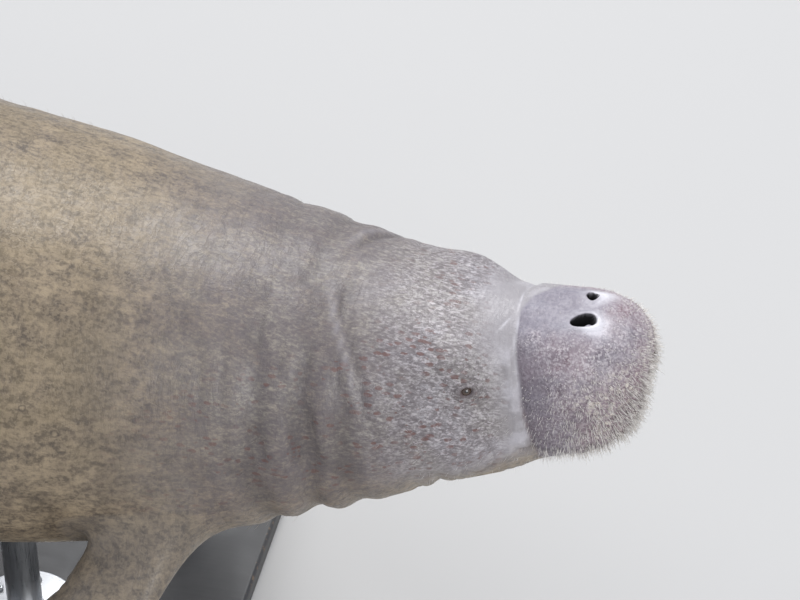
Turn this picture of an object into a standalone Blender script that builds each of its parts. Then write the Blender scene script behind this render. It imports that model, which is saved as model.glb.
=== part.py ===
"""A life-size manatee that has raised its head to breathe, carried by two rods on a flat base.

The animal is first described lying straight: s is the distance back from the snout, y the
distance to its left and z the height over the body's axis. A bend then lifts the head and
lowers the tail. In the finished model X is forward, Y is left and Z is up, in metres.
"""

import math

import bmesh
import bpy
import numpy as np
from mathutils import Matrix, Vector

# Driving dimensions of the animal
BODY_LENGTH = 3.0
AXIS_HEIGHT = 0.70
MID_BODY = 1.30
HEAD_LIFT = math.radians(13)
TAIL_DROP = math.radians(11)
TOUCH_GAP = 0.0003

# Side and top outline: distance s, top, bottom, half width and height of the widest line
BODY_STATIONS = (
    (0.00, 0.048, -0.152, 0.100, -0.058),
    (0.10, 0.062, -0.180, 0.108, -0.060),
    (0.17, 0.070, -0.190, 0.110, -0.054),
    (0.20, 0.075, -0.192, 0.116, -0.052),
    (0.27, 0.094, -0.198, 0.148, -0.046),
    (0.36, 0.124, -0.212, 0.188, -0.041),
    (0.48, 0.164, -0.238, 0.224, -0.038),
    (0.62, 0.208, -0.270, 0.260, -0.040),
    (0.80, 0.250, -0.306, 0.302, -0.045),
    (1.05, 0.283, -0.338, 0.340, -0.045),
    (1.35, 0.295, -0.348, 0.358, -0.045),
    (1.65, 0.275, -0.325, 0.336, -0.035),
    (1.90, 0.228, -0.265, 0.276, -0.020),
    (2.10, 0.172, -0.190, 0.208, -0.005),
    (2.25, 0.130, -0.138, 0.176, 0.000),
    (2.38, 0.100, -0.100, 0.190, 0.000),
    (2.52, 0.072, -0.070, 0.262, 0.000),
    (2.66, 0.050, -0.048, 0.330, 0.000),
    (2.80, 0.036, -0.034, 0.360, 0.000),
    (3.00, 0.024, -0.022, 0.362, 0.000),
)
OUTLINE_SOFTENING = 0.022

# The blunt muzzle, whose front leans back below the nostrils
MUZZLE_CAP = 0.105
MUZZLE_CAP_POWER = 2.45
SNOUT_HEIGHT = -0.030
MUZZLE_LEAN = 0.34
LEAN_SOFTENING = 0.04
LEAN_ENDS = (0.12, 0.24)

# How square a section is: over the widest line, under it at the muzzle, under it behind the head
SQUARENESS = (2.1, 2.9, 2.2)

# The paddle of the tail
PADDLE_CAP_START = 2.70
PADDLE_CAP_POWER = 2.1
PADDLE_RIM = 0.011
PADDLE_END_ROUND = 0.016
PADDLE_BLEND = (2.12, 2.50)

# Where the body is parted
HEAD_END = 0.36
NECK_END = 0.58
CHEST_END = 1.06
BELLY_END = 1.88
TAIL_STOCK_END = 2.34

# Swellings of the face: centre on the left side (s, y, z), half sizes and height
FACE_LUMPS = (
    ((0.075, 0.058, -0.096), (0.060, 0.040, 0.034), 0.010),
    ((0.088, 0.028, 0.062), (0.040, 0.026, 0.026), 0.003),
    ((0.160, 0.090, -0.060), (0.034, 0.060, 0.050), 0.005),
    ((0.265, 0.125, -0.080), (0.060, 0.060, 0.055), 0.010),
    ((0.258, 0.100, 0.055), (0.062, 0.042, 0.036), 0.016),
    ((0.185, 0.075, 0.055), (0.022, 0.050, 0.040), -0.005),
    ((0.125, 0.000, -0.190), (0.060, 0.052, 0.050), 0.018),
)
CREASE_S = 0.170
CREASE_BOW = 0.3

# Folds of skin: distance s, width, depth, forward lean upward and phase of their waves
NECK_FOLDS = (
    (0.402, 0.015, 0.006, 0.16, 0.4),
    (0.456, 0.017, 0.011, 0.10, 1.9),
    (0.522, 0.017, 0.008, 0.04, 3.6),
)
TAIL_FOLDS = (
    (1.98, 0.022, 0.004, 0.05, 0.8),
    (2.10, 0.020, 0.006, 0.02, 2.6),
    (2.23, 0.020, 0.005, 0.00, 4.1),
)

# Nostrils, eyes and mouth. Columns are angles up from the left side
NOSTRIL_S = 0.083
NOSTRIL_COLUMN = math.radians(75)
NOSTRIL_RADII = (0.0185, 0.0110, 0.026)
NOSTRIL_TURN = math.radians(25)
EYE_S = 0.236
EYE_COLUMN = math.radians(27)
EYE_SPHERE = 0.0110
EYE_SHOWN = 0.0030
EYELID_RING = 0.0104
EYELID_THICKNESS = 0.0042
MOUTH_FRONT = (0.020, -0.120)
MOUTH_MIDDLE = (0.100, -0.130)
MOUTH_CORNER = (0.178, -0.106)
JAW_BACK = (0.276, -0.280)
MOUTH_SLIT = 0.002
LIP_OVERHANG = 0.010
OVERHANG_ENDS = (0.200, 0.105)

# Flippers, given for the left side
FLIPPER_S = 0.70
FLIPPER_COLUMN = math.radians(-33)
FLIPPER_LENGTH = 0.44
FLIPPER_ROOT_SINK = 0.035
FLIPPER_ROOT_DIRECTION = Vector((-0.20, 0.80, -0.56)).normalized()
FLIPPER_TIP_DIRECTION = Vector((-0.84, 0.30, -0.46)).normalized()
FLIPPER_STATIONS = (
    (0.00, 0.172, 0.094),
    (0.15, 0.146, 0.074),
    (0.35, 0.138, 0.058),
    (0.55, 0.152, 0.046),
    (0.75, 0.158, 0.034),
    (1.00, 0.150, 0.022),
)
FLIPPER_TIP_CAP = 0.74
FLIPPER_SWEEP = 0.06
SHOULDER_END = 0.20
NAIL_COUNT = 3
NAIL_RADII = (0.0105, 0.0072, 0.0042)
NAIL_FIRST = 0.925
NAIL_SPACING = 0.06

# Display stand
BASE_SIZE = (1.70, 0.80, 0.032)
BASE_CORNER = 0.06
BASE_BEVEL = 0.006
ROD_RADIUS = 0.028
ROD_STATIONS = (0.98, 1.72)
ROD_DEPTH_IN_BODY = 0.07
FLANGE_RADIUS = 0.085
FLANGE_THICKNESS = 0.014
FLANGE_BEVEL = 0.002

# Vertices round each length of the body, and along and round the hole that a flipper grows from
HEAD_COLUMNS = 56
BODY_COLUMNS = 40
TAIL_COLUMNS = 40
HOLE_RINGS = 6
HOLE_COLUMNS = 4
SHOULDER_RINGS = 4

SKIN_GREY = (0.40, 0.37, 0.39)
SKIN_DARK = (0.30, 0.28, 0.28)
EYE_BROWN = (0.03, 0.02, 0.015)
NAIL_HORN = (0.52, 0.46, 0.38)
STEEL_GREY = (0.55, 0.56, 0.57)
BOARD_GREY = (0.05, 0.05, 0.055)


def clear_scene():
    for obj in list(bpy.data.objects):
        bpy.data.objects.remove(obj)


def make_material(name, colour, roughness, metallic=0.0):
    material = bpy.data.materials.new(name)
    material.use_nodes = True
    shader = material.node_tree.nodes["Principled BSDF"]
    shader.inputs["Base Color"].default_value = (*colour, 1.0)
    shader.inputs["Roughness"].default_value = roughness
    shader.inputs["Metallic"].default_value = metallic
    return material


def smoothstep(start, end, value):
    t = np.clip((value - start) / (end - start), 0.0, 1.0)
    return t * t * (3 - 2 * t)


def softened_outline():
    """Each column of BODY_STATIONS as a dense, softened curve over s."""
    rows = np.array(BODY_STATIONS)
    step = 0.004
    dense = np.arange(-0.2, BODY_LENGTH + 0.2, step)
    reach = int(3 * OUTLINE_SOFTENING / step)
    window = np.exp(-0.5 * (np.arange(-reach, reach + 1) * step / OUTLINE_SOFTENING) ** 2)
    window /= window.sum()
    curves = []
    for column in rows.T[1:]:
        values = np.interp(dense, rows[:, 0], column)
        padded = np.pad(values, reach, mode="edge")
        curves.append(np.convolve(padded, window, mode="valid"))
    return dense, curves


OUTLINE_S, OUTLINE_CURVES = softened_outline()


def outline(s):
    """Top, bottom, half width and height of the widest line at the distances s."""
    return [np.interp(s, OUTLINE_S, curve) for curve in OUTLINE_CURVES]


def section_points(s, phi):
    """The plain body before its relief: a section at s, phi measured up from its left side."""
    top, bottom, half_width, middle = outline(s)
    cap_share = np.clip(s / MUZZLE_CAP, 0.0, 1.0)
    cap = (1 - (1 - cap_share) ** MUZZLE_CAP_POWER) ** (1 / MUZZLE_CAP_POWER)
    top = SNOUT_HEIGHT + (top - SNOUT_HEIGHT) * cap
    bottom = SNOUT_HEIGHT + (bottom - SNOUT_HEIGHT) * cap
    middle = SNOUT_HEIGHT + (middle - SNOUT_HEIGHT) * cap
    tail_share = np.clip((s - PADDLE_CAP_START) / (BODY_LENGTH - PADDLE_CAP_START), 0.0, 1.0)
    half_width = half_width * cap * (1 - tail_share**PADDLE_CAP_POWER) ** 0.5
    end_share = np.clip((s - BODY_LENGTH + PADDLE_END_ROUND) / PADDLE_END_ROUND, 0.0, 1.0)
    thinning = (1 - end_share**2) ** 0.5

    cosine, sine = np.cos(phi), np.sin(phi)
    over, under_muzzle, under_body = SQUARENESS
    under = under_muzzle + (under_body - under_muzzle) * smoothstep(0.12, 0.34, s)
    power = over + (under - over) * smoothstep(0.15, -0.15, sine)
    reach = (np.abs(cosine) ** power + np.abs(sine) ** power) ** (-1 / power)
    half_height = np.where(sine > 0, top - middle, middle - bottom)
    body_y = half_width * reach * cosine
    body_z = middle + half_height * reach * sine

    across = np.abs(cosine) ** 0.85
    paddle_y = half_width * np.sign(cosine) * across
    lens = PADDLE_RIM * (1 - across**20) ** 0.5 + (half_height - PADDLE_RIM) * (1 - across**2) ** 1.4
    paddle_z = middle + np.sign(sine) * lens * thinning
    blend = smoothstep(*PADDLE_BLEND, s)
    return body_y * (1 - blend) + paddle_y * blend, body_z * (1 - blend) + paddle_z * blend


def outward_directions(grid):
    """Outward directions of a straight grid of rings by columns, from each point's neighbours."""
    along = np.gradient(grid, axis=0)
    around = np.roll(grid, -1, axis=1) - np.roll(grid, 1, axis=1)
    normals = np.cross(around, along)
    lengths = np.linalg.norm(normals, axis=2, keepdims=True)
    return normals / np.maximum(lengths, 1e-9)


def lump(grid, centre, radii, height):
    """Height of a soft swelling on both sides of the body, around a centre given for the left side."""
    left = np.stack([grid[..., 0], np.abs(grid[..., 1]), grid[..., 2]], axis=-1)
    distance = (((left - np.array(centre)) / np.array(radii)) ** 2).sum(axis=-1)
    return height * np.exp(-distance)


def groove(distance, width, depth):
    return -depth * np.exp(-((distance / width) ** 2))


def mouth_height(s):
    """Height of the line of the mouth at the distance s."""
    ahead = smoothstep(MOUTH_FRONT[0], MOUTH_MIDDLE[0], s)
    behind = smoothstep(MOUTH_MIDDLE[0], MOUTH_CORNER[0], s)
    drop = (MOUTH_MIDDLE[1] - MOUTH_FRONT[1]) * ahead
    return MOUTH_FRONT[1] + drop + (MOUTH_CORNER[1] - MOUTH_MIDDLE[1]) * behind


def face_relief(grid):
    """Outward height of the lips, nose, cheeks, brows and chin, less the crease and the cleft."""
    s, y, z = grid[..., 0], grid[..., 1], grid[..., 2]
    relief = sum(lump(grid, *shape) for shape in FACE_LUMPS)
    crease = groove(s - CREASE_S + CREASE_BOW * y**2, 0.008, 0.006)
    relief += crease * smoothstep(-0.15, -0.10, z)
    cleft = smoothstep(0.085, 0.045, s) * smoothstep(0.0, -0.06, z)
    relief += groove(y, 0.014, 0.007) * cleft
    for fold_s, lean in ((0.310, 0.20), (0.345, 0.25)):
        relief += groove(s - fold_s + lean * (z + 0.16), 0.011, 0.006) * smoothstep(-0.07, -0.15, z)
    return relief * smoothstep(HEAD_END, HEAD_END - 0.03, s)


def fold_relief(s, z, phi):
    """Folds of skin round the neck and the stock of the tail, faint over the back."""
    relief = np.zeros_like(s)
    strength = 0.25 + 0.75 * smoothstep(0.9, 0.1, np.sin(phi))
    for place, width, depth, lean, phase in (*NECK_FOLDS, *TAIL_FOLDS):
        waves = 0.007 * np.sin(2 * phi + phase) + 0.004 * np.sin(5 * phi + 2 * phase)
        distance = s - place + lean * z + waves
        relief += groove(distance, width, depth) * strength
        relief -= groove(distance - 2 * width, 1.3 * width, 0.3 * depth) * strength
    return relief


def straight_body(distances, columns, inset=0.0):
    """The whole shaped body, lying straight, as a grid of rings by columns.

    The inset draws the chin and the lower lip in under the upper lip.
    """
    s = np.repeat(np.asarray(distances)[:, None], len(columns), axis=1)
    phi = np.repeat(np.asarray(columns)[None, :], len(distances), axis=0)
    y, z = section_points(s, phi)
    depth = SNOUT_HEIGHT - z
    under_snout = (depth + np.sqrt(depth**2 + LEAN_SOFTENING**2) - LEAN_SOFTENING) / 2
    lean = MUZZLE_LEAN * (1 - smoothstep(*LEAN_ENDS, s))
    grid = np.stack([s + lean * under_snout, y, z], axis=-1)
    relief = face_relief(grid) - inset * smoothstep(*OVERHANG_ENDS, s)
    grid = grid + outward_directions(grid) * relief[..., None]
    sideways = np.stack([np.zeros_like(y), y, z], axis=-1)
    sideways /= np.maximum(np.linalg.norm(sideways, axis=2, keepdims=True), 1e-6)
    return grid + sideways * fold_relief(s, z, phi)[..., None]


def spine():
    """The bent body axis as tables of s, x, z and pitch."""
    s = np.linspace(-0.2, BODY_LENGTH + 0.2, 1701)
    pitch = HEAD_LIFT * smoothstep(0.95, 0.25, s) + TAIL_DROP * smoothstep(1.55, 2.60, s)
    step = s[1] - s[0]
    x = -np.cumsum(np.cos(pitch)) * step
    z = -np.cumsum(np.sin(pitch)) * step
    z += AXIS_HEIGHT - np.interp(MID_BODY, s, z)
    return s, x, z, pitch


SPINE_S, SPINE_X, SPINE_Z, SPINE_PITCH = spine()


def posed(points):
    """Straight points (s, y, z) carried onto the bent body axis."""
    points = np.asarray(points, float)
    s, y, z = points[..., 0], points[..., 1], points[..., 2]
    pitch = np.interp(s, SPINE_S, SPINE_PITCH)
    x = np.interp(s, SPINE_S, SPINE_X) - np.sin(pitch) * z
    height = np.interp(s, SPINE_S, SPINE_Z) + np.cos(pitch) * z
    return np.stack([x, y, height], axis=-1)


def columns_around(count):
    return (np.arange(count) + 0.5) * 2 * math.pi / count


def head_stops():
    """Distances of the head's rings, close together at the snout, the crease and the eyes."""
    snout = MUZZLE_CAP * (1 - np.cos(np.linspace(0.14, math.pi / 2, 13)))
    muzzle = np.linspace(0.116, 0.158, 4)
    crease = np.linspace(0.165, 0.206, 7)
    cheek = np.linspace(0.218, HEAD_END - TOUCH_GAP / 2, 11)
    return np.concatenate([snout, muzzle, crease, cheek])


def paddle_stops():
    """Distances of the paddle's rings, closer together toward its round end."""
    length = BODY_LENGTH - TAIL_STOCK_END
    shares = np.sin(np.linspace(0, math.pi / 2, 16))[:-1]
    stops = TAIL_STOCK_END + length * shares
    stops[0] += TOUCH_GAP / 2
    return stops


def centre_spine():
    """Shifts the axis so that the snout's tip and the tail's end lie equally far from the origin."""
    front = posed(straight_body(head_stops(), columns_around(HEAD_COLUMNS)))[..., 0].max()
    rear = float(posed((BODY_LENGTH, 0.0, 0.0))[0])
    SPINE_X[:] -= (front + rear) / 2


def new_object(name, bm, material, smooth_angle=math.radians(50)):
    bmesh.ops.recalc_face_normals(bm, faces=bm.faces)
    mesh = bpy.data.meshes.new(name)
    bm.to_mesh(mesh)
    bm.free()
    obj = bpy.data.objects.new(name, mesh)
    bpy.context.scene.collection.objects.link(obj)
    if material is not None:
        mesh.materials.append(material)
    mesh.shade_smooth()
    mesh.set_sharp_from_angle(angle=smooth_angle)
    return obj


def add_rings(bm, grid):
    """Vertices of a grid of closed rings, as a list of lists."""
    return [[bm.verts.new(point) for point in ring] for ring in grid]


def join_rings(bm, first, second):
    count = len(first)
    for k in range(count):
        after = (k + 1) % count
        bm.faces.new((first[k], second[k], second[after], first[after]))


def close_with_point(bm, ring, point):
    tip = bm.verts.new(point)
    for k in range(len(ring)):
        bm.faces.new((ring[k], ring[(k + 1) % len(ring)], tip))


def body_node(name, material, distances, column_count, inset=0.0):
    """A closed length of the body, flat where it is cut and pointed at the snout and the tail's end."""
    bm = bmesh.new()
    rings = add_rings(bm, posed(straight_body(distances, columns_around(column_count), inset)))
    for first, second in zip(rings, rings[1:]):
        join_rings(bm, first, second)
    if distances[0] < HEAD_END / 2:
        relief = float(face_relief(np.array([0.0, 0.0, SNOUT_HEIGHT])))
        close_with_point(bm, rings[0], posed((inset - relief, 0.0, SNOUT_HEIGHT)))
    else:
        bm.faces.new(rings[0])
    if distances[-1] > TAIL_STOCK_END:
        close_with_point(bm, rings[-1], posed((BODY_LENGTH, 0.0, 0.0)))
    else:
        bm.faces.new(rings[-1])
    return new_object(name, bm, material)


def surface_frame(s, phi):
    """A point of the skin with its outward, backward and upward directions."""
    near = [phi - 0.02, phi, phi + 0.02, phi + math.pi]
    patch = posed(straight_body([s - 0.004, s, s + 0.004], near))
    point = Vector(patch[1, 1])
    back = Vector(patch[2, 1] - patch[0, 1]).normalized()
    around = Vector(patch[1, 2] - patch[1, 0]).normalized()
    outward = back.cross(around).normalized()
    if outward.y * math.cos(phi) < 0:
        outward = -outward
    upward = back.cross(outward).normalized()
    return point, outward, back, upward if upward.z > 0 else -upward


def side_angle(column, side):
    """The angle round the body of a column given for the left side, on either side."""
    return column if side > 0 else math.pi - column


def bezier(p0, p1, p2, p3, t):
    return (
        (1 - t) ** 3 * p0
        + 3 * (1 - t) ** 2 * t * p1
        + 3 * (1 - t) * t**2 * p2
        + t**3 * p3
    )


class Flipper:
    """The curved blade of one flipper: its centre line, chord and thickness."""

    def __init__(self, side):
        mirror = Vector((1, side, 1))
        first = FLIPPER_ROOT_DIRECTION * mirror
        last = FLIPPER_TIP_DIRECTION * mirror
        on_skin = surface_frame(FLIPPER_S, side_angle(FLIPPER_COLUMN, side))[0]
        start = on_skin - first * FLIPPER_ROOT_SINK
        reach = FLIPPER_LENGTH + FLIPPER_ROOT_SINK
        end = start + (first * 0.42 + last * 0.60).normalized() * reach * 0.97
        self.controls = (start, start + first * reach * 0.36, end - last * reach * 0.36, end)
        self.side = side
        self.upward = first.cross(last).normalized() * side

    def centre(self, t):
        return bezier(*self.controls, t)

    def directions(self, t):
        """Direction of the centre line at t, with its speed, and of the leading edge."""
        ahead = (self.centre(t + 1e-3) - self.centre(t - 1e-3)) / 2e-3
        leading = self.upward.cross(ahead.normalized()).normalized() * -self.side
        return ahead, leading

    def size(self, t):
        rows = np.array(FLIPPER_STATIONS)
        chord = float(np.interp(t, rows[:, 0], rows[:, 1]))
        thickness = float(np.interp(t, rows[:, 0], rows[:, 2]))
        share = min(max((t - FLIPPER_TIP_CAP) / (1 - FLIPPER_TIP_CAP), 0.0), 1.0)
        return chord * (1 - share**2.4) ** 0.5, thickness * (1 - share**6) ** 0.5

    def ring(self, t, angles):
        """A closed ring round the blade at t, angle 0 at its leading edge."""
        _, leading = self.directions(t)
        chord, thickness = self.size(t)
        sweep = FLIPPER_SWEEP * chord * math.sin(math.pi * t)
        points = []
        for angle in angles:
            over = math.copysign(abs(math.sin(angle)) ** 0.9, math.sin(angle))
            forward = chord / 2 * math.cos(angle) + sweep
            points.append(self.centre(t) + leading * forward + self.upward * (thickness / 2 * over))
        return points


def hole_loop(row, column, count):
    """Grid indices round the hole that a flipper grows from, and the blade angle that each one meets."""
    rows = [row + i for i in range(HOLE_RINGS + 1)]
    columns = [column + i for i in range(HOLE_COLUMNS + 1)]
    loop = [(rows[0], c) for c in columns]
    loop += [(r, columns[-1]) for r in rows[1:]]
    loop += [(rows[-1], c) for c in reversed(columns[:-1])]
    loop += [(r, columns[0]) for r in reversed(rows[1:-1])]
    middle_row, middle_column = row + HOLE_RINGS / 2, column + HOLE_COLUMNS / 2
    angles = [
        math.atan2((c - middle_column) / HOLE_COLUMNS, (middle_row - r) / HOLE_RINGS) for r, c in loop
    ]
    return [(r, c % count) for r, c in loop], angles


def shoulder_ring(starts, normals, goals, ahead, share):
    """Points that leave the skin along its own slope and arrive along the blade's direction."""
    t = share
    ring = []
    for point, normal, goal in zip(starts, normals, goals):
        span = goal - point
        along_skin = (span - normal * span.dot(normal)) * 1.1
        leaving = (2 * t**3 - 3 * t**2 + 1) * point + (t**3 - 2 * t**2 + t) * along_skin
        arriving = (3 * t**2 - 2 * t**3) * goal + (t**3 - t**2) * ahead * 0.16
        ring.append(leaving + arriving)
    return ring


def chest_node(material, flippers, distances, hole_row):
    """The chest with a faired shoulder on each side, cut flat where its flipper is parted."""
    count = BODY_COLUMNS
    straight = straight_body(distances, columns_around(count))
    grid = posed(straight)
    normals = posed(straight + outward_directions(straight)) - grid
    bm = bmesh.new()
    rings = add_rings(bm, grid)
    left_column = round(FLIPPER_COLUMN * count / (2 * math.pi) - 0.5 - HOLE_COLUMNS / 2)
    holes = {1: left_column, -1: count // 2 - 1 - left_column - HOLE_COLUMNS}
    open_cells = {
        (hole_row + i, (start + j) % count)
        for start in holes.values()
        for i in range(HOLE_RINGS)
        for j in range(HOLE_COLUMNS)
    }
    for i in range(len(rings) - 1):
        for k in range(count):
            if (i, k) not in open_cells:
                after = (k + 1) % count
                bm.faces.new((rings[i][k], rings[i + 1][k], rings[i + 1][after], rings[i][after]))
    bm.faces.new(rings[0])
    bm.faces.new(rings[-1])
    for side, start in holes.items():
        loop, angles = hole_loop(hole_row, start, count)
        goals = flippers[side].ring(SHOULDER_END, [side * a for a in angles])
        ahead = flippers[side].directions(SHOULDER_END)[0].normalized()
        starts = [Vector(grid[r, c]) for r, c in loop]
        outward = [Vector(normals[r, c]).normalized() for r, c in loop]
        previous = [rings[r][c] for r, c in loop]
        for step in range(1, SHOULDER_RINGS + 1):
            points = shoulder_ring(starts, outward, goals, ahead, step / SHOULDER_RINGS)
            ring = [bm.verts.new(point) for point in points]
            join_rings(bm, previous, ring)
            previous = ring
        bm.faces.new(previous)
    return new_object("chest", bm, material)


def flipper_node(name, material, flipper, ring_count=14, around=20):
    """One flipper from its flat root to its rounded tip, its rings closer together toward the tip."""
    start = SHOULDER_END + TOUCH_GAP / flipper.directions(SHOULDER_END)[0].length
    stops = start + (1 - start) * np.sin(np.linspace(0, math.pi / 2, ring_count + 1))[:-1]
    bm = bmesh.new()
    rings = add_rings(bm, [flipper.ring(float(t), columns_around(around)) for t in stops])
    for first, second in zip(rings, rings[1:]):
        join_rings(bm, first, second)
    bm.faces.new(rings[0])
    close_with_point(bm, rings[-1], flipper.centre(1.0))
    return new_object(name, bm, material)


def ellipsoid(name, centre, axes, radii, material, segments, rings):
    """An ellipsoid with the given half axes along three directions."""
    bm = bmesh.new()
    bmesh.ops.create_uvsphere(bm, u_segments=segments, v_segments=rings, radius=1.0)
    turn = Matrix([list(axis) for axis in axes]).transposed().to_4x4()
    shape = Matrix.Translation(Vector(centre)) @ turn @ Matrix.Diagonal((*radii, 1.0))
    bmesh.ops.transform(bm, matrix=shape, verts=bm.verts)
    return new_object(name, bm, material)


def as_cutter(obj):
    obj.hide_render = True
    obj.display_type = "WIRE"
    return obj


def apply_boolean(target, tool, operation):
    """Applies one Boolean to the target and shades its new edges."""
    modifier = target.modifiers.new(operation.title(), "BOOLEAN")
    modifier.operation = operation
    modifier.solver = "EXACT"
    if isinstance(tool, bpy.types.Collection):
        modifier.operand_type = "COLLECTION"
        modifier.collection = tool
    else:
        modifier.object = tool
    graph = bpy.context.evaluated_depsgraph_get()
    made = bpy.data.meshes.new_from_object(target.evaluated_get(graph))
    target.modifiers.clear()
    old = target.data
    target.data = made
    bpy.data.meshes.remove(old)
    made.set_sharp_from_angle(angle=math.radians(50))


def eyelid_ring(side, segments=18, sides=6):
    """The puckered ring of lids round one eye, longer than high."""
    point, outward, back, upward = surface_frame(EYE_S, side_angle(EYE_COLUMN, side))
    bm = bmesh.new()
    rings = []
    for i in range(segments):
        a = 2 * math.pi * i / segments
        direction = back * math.cos(a) * 1.25 + upward * math.sin(a) * 0.85
        middle = point + direction * EYELID_RING - outward * 0.0016
        ring = []
        for j in range(sides):
            b = 2 * math.pi * j / sides
            rise = outward * math.sin(b) + direction.normalized() * math.cos(b)
            ring.append(bm.verts.new(middle + rise * EYELID_THICKNESS))
        rings.append(ring)
    for i in range(segments):
        join_rings(bm, rings[i], rings[(i + 1) % segments])
    return new_object(f"eyelid_{side}", bm, None)


def eye_sphere(name, side, radius, material):
    point, outward, back, upward = surface_frame(EYE_S, side_angle(EYE_COLUMN, side))
    centre = point - outward * (EYE_SPHERE - EYE_SHOWN)
    return ellipsoid(name, centre, (back, upward, outward), (radius,) * 3, material, 14, 8)


def nostril_cutter(side):
    """A slanting oval pit on the top of the muzzle, whose rear end turns away from the midline."""
    point, outward, back, _ = surface_frame(NOSTRIL_S, side_angle(NOSTRIL_COLUMN, side))
    inward = (back * 0.35 - outward * 0.9).normalized()
    sideways = Vector((0, side, 0))
    rearward = back * math.cos(NOSTRIL_TURN) + sideways * math.sin(NOSTRIL_TURN)
    length_axis = (rearward - inward * rearward.dot(inward)).normalized()
    axes = (length_axis, inward.cross(length_axis), inward)
    return ellipsoid(f"nostril_{side}", point, axes, NOSTRIL_RADII, None, 18, 10)


def side_prism(name, outline_points, half_width):
    """A side-view outline in the straight body, posed and carried across the whole width."""
    bm = bmesh.new()
    faces = []
    for side in (-1, 1):
        points = posed([(s, side * half_width, z) for s, z in outline_points])
        faces.append([bm.verts.new(p) for p in points])
    join_rings(bm, faces[0], faces[1])
    bm.faces.new(faces[0])
    bm.faces.new(faces[1])
    return as_cutter(new_object(name, bm, None))


def jaw_outline(raise_line, grow):
    """Side view of the space of the lower jaw, below the line of the mouth."""
    line_s = np.linspace(-0.06, MOUTH_CORNER[0], 12)
    mouth = [(s, float(mouth_height(s)) + raise_line) for s in line_s]
    corner = (MOUTH_CORNER[0] + 0.006 + grow, MOUTH_CORNER[1] + grow)
    below = (JAW_BACK[0] + grow, JAW_BACK[1])
    return [*mouth, corner, below, (-0.06, JAW_BACK[1])]


def head_nodes(skin, dark):
    """The head with its lids, nostrils and eye sockets, and the lower jaw parted from it at the mouth."""
    head = body_node("head", skin, head_stops(), HEAD_COLUMNS)
    jaw = body_node("lower_jaw", skin, head_stops(), HEAD_COLUMNS, LIP_OVERHANG)

    lids = bpy.data.collections.new("lids")
    bpy.context.scene.collection.children.link(lids)
    lid_rings = [eyelid_ring(side) for side in (1, -1)]
    for ring in lid_rings:
        bpy.context.scene.collection.objects.unlink(ring)
        lids.objects.link(ring)
    apply_boolean(head, lids, "UNION")
    for ring in lid_rings:
        bpy.data.objects.remove(ring)
    bpy.data.collections.remove(lids)

    cutters = [as_cutter(nostril_cutter(side)) for side in (1, -1)]
    for side in (1, -1):
        cutters.append(as_cutter(eye_sphere(f"socket_{side}", side, EYE_SPHERE + TOUCH_GAP, None)))
    cutters.append(side_prism("mouth_space", jaw_outline(MOUTH_SLIT, TOUCH_GAP), 0.3))
    for cutter in cutters:
        apply_boolean(head, cutter, "DIFFERENCE")
        bpy.data.objects.remove(cutter)
    jaw_space = side_prism("jaw_space", jaw_outline(0.0, 0.0), 0.3)
    apply_boolean(jaw, jaw_space, "INTERSECT")
    bpy.data.objects.remove(jaw_space)
    eye_sphere("eye_left", 1, EYE_SPHERE, dark)
    eye_sphere("eye_right", -1, EYE_SPHERE, dark)


def nail_places(flipper):
    """Centre and length, width and outward directions of each nail of a flipper."""
    places = []
    for i in range(NAIL_COUNT):
        t = NAIL_FIRST - NAIL_SPACING * i
        point = flipper.ring(t, [math.radians(66 - 12 * i)])[0]
        ahead, leading = flipper.directions(t)
        outward = (flipper.upward + leading * 0.25).normalized()
        to_edge = ahead.normalized() * (0.9 - 0.25 * i) + leading * (0.45 + 0.25 * i)
        to_edge = (to_edge - outward * to_edge.dot(outward)).normalized()
        places.append((point, (to_edge, outward.cross(to_edge), outward)))
    return places


def nail_nodes(side_name, flipper, blade, horn):
    """Small domed nails set in the upper edge of the tip, each in its own socket."""
    grown = [radius + TOUCH_GAP for radius in NAIL_RADII]
    for index, (point, axes) in enumerate(nail_places(flipper), 1):
        socket = as_cutter(ellipsoid("socket", point, axes, grown, None, 10, 6))
        apply_boolean(blade, socket, "DIFFERENCE")
        bpy.data.objects.remove(socket)
        ellipsoid(f"nail_{side_name}_{index}", point, axes, NAIL_RADII, horn, 10, 6)


def belly_bottom(x):
    """Height of the lowest skin over the point x of the floor, on the centre line."""
    distances = np.linspace(0.6, 2.2, 801)
    line = posed(straight_body(distances, [-math.pi / 2, 0.0, math.pi / 2, math.pi]))[:, 0]
    order = np.argsort(line[:, 0])
    return float(np.interp(x, line[order, 0], line[order, 2]))


def turned(name, profile, centre, material, steps=28):
    """A solid of revolution about an upright axis, from (radius, height) pairs from the bottom up."""
    bm = bmesh.new()
    rings = []
    for radius, height in profile:
        ring = []
        for i in range(steps):
            a = 2 * math.pi * i / steps
            place = (centre[0] + radius * math.cos(a), centre[1] + radius * math.sin(a), height)
            ring.append(bm.verts.new(place))
        rings.append(ring)
    for first, second in zip(rings, rings[1:]):
        join_rings(bm, first, second)
    bm.faces.new(rings[0])
    bm.faces.new(rings[-1])
    return new_object(name, bm, material, math.radians(30))


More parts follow.
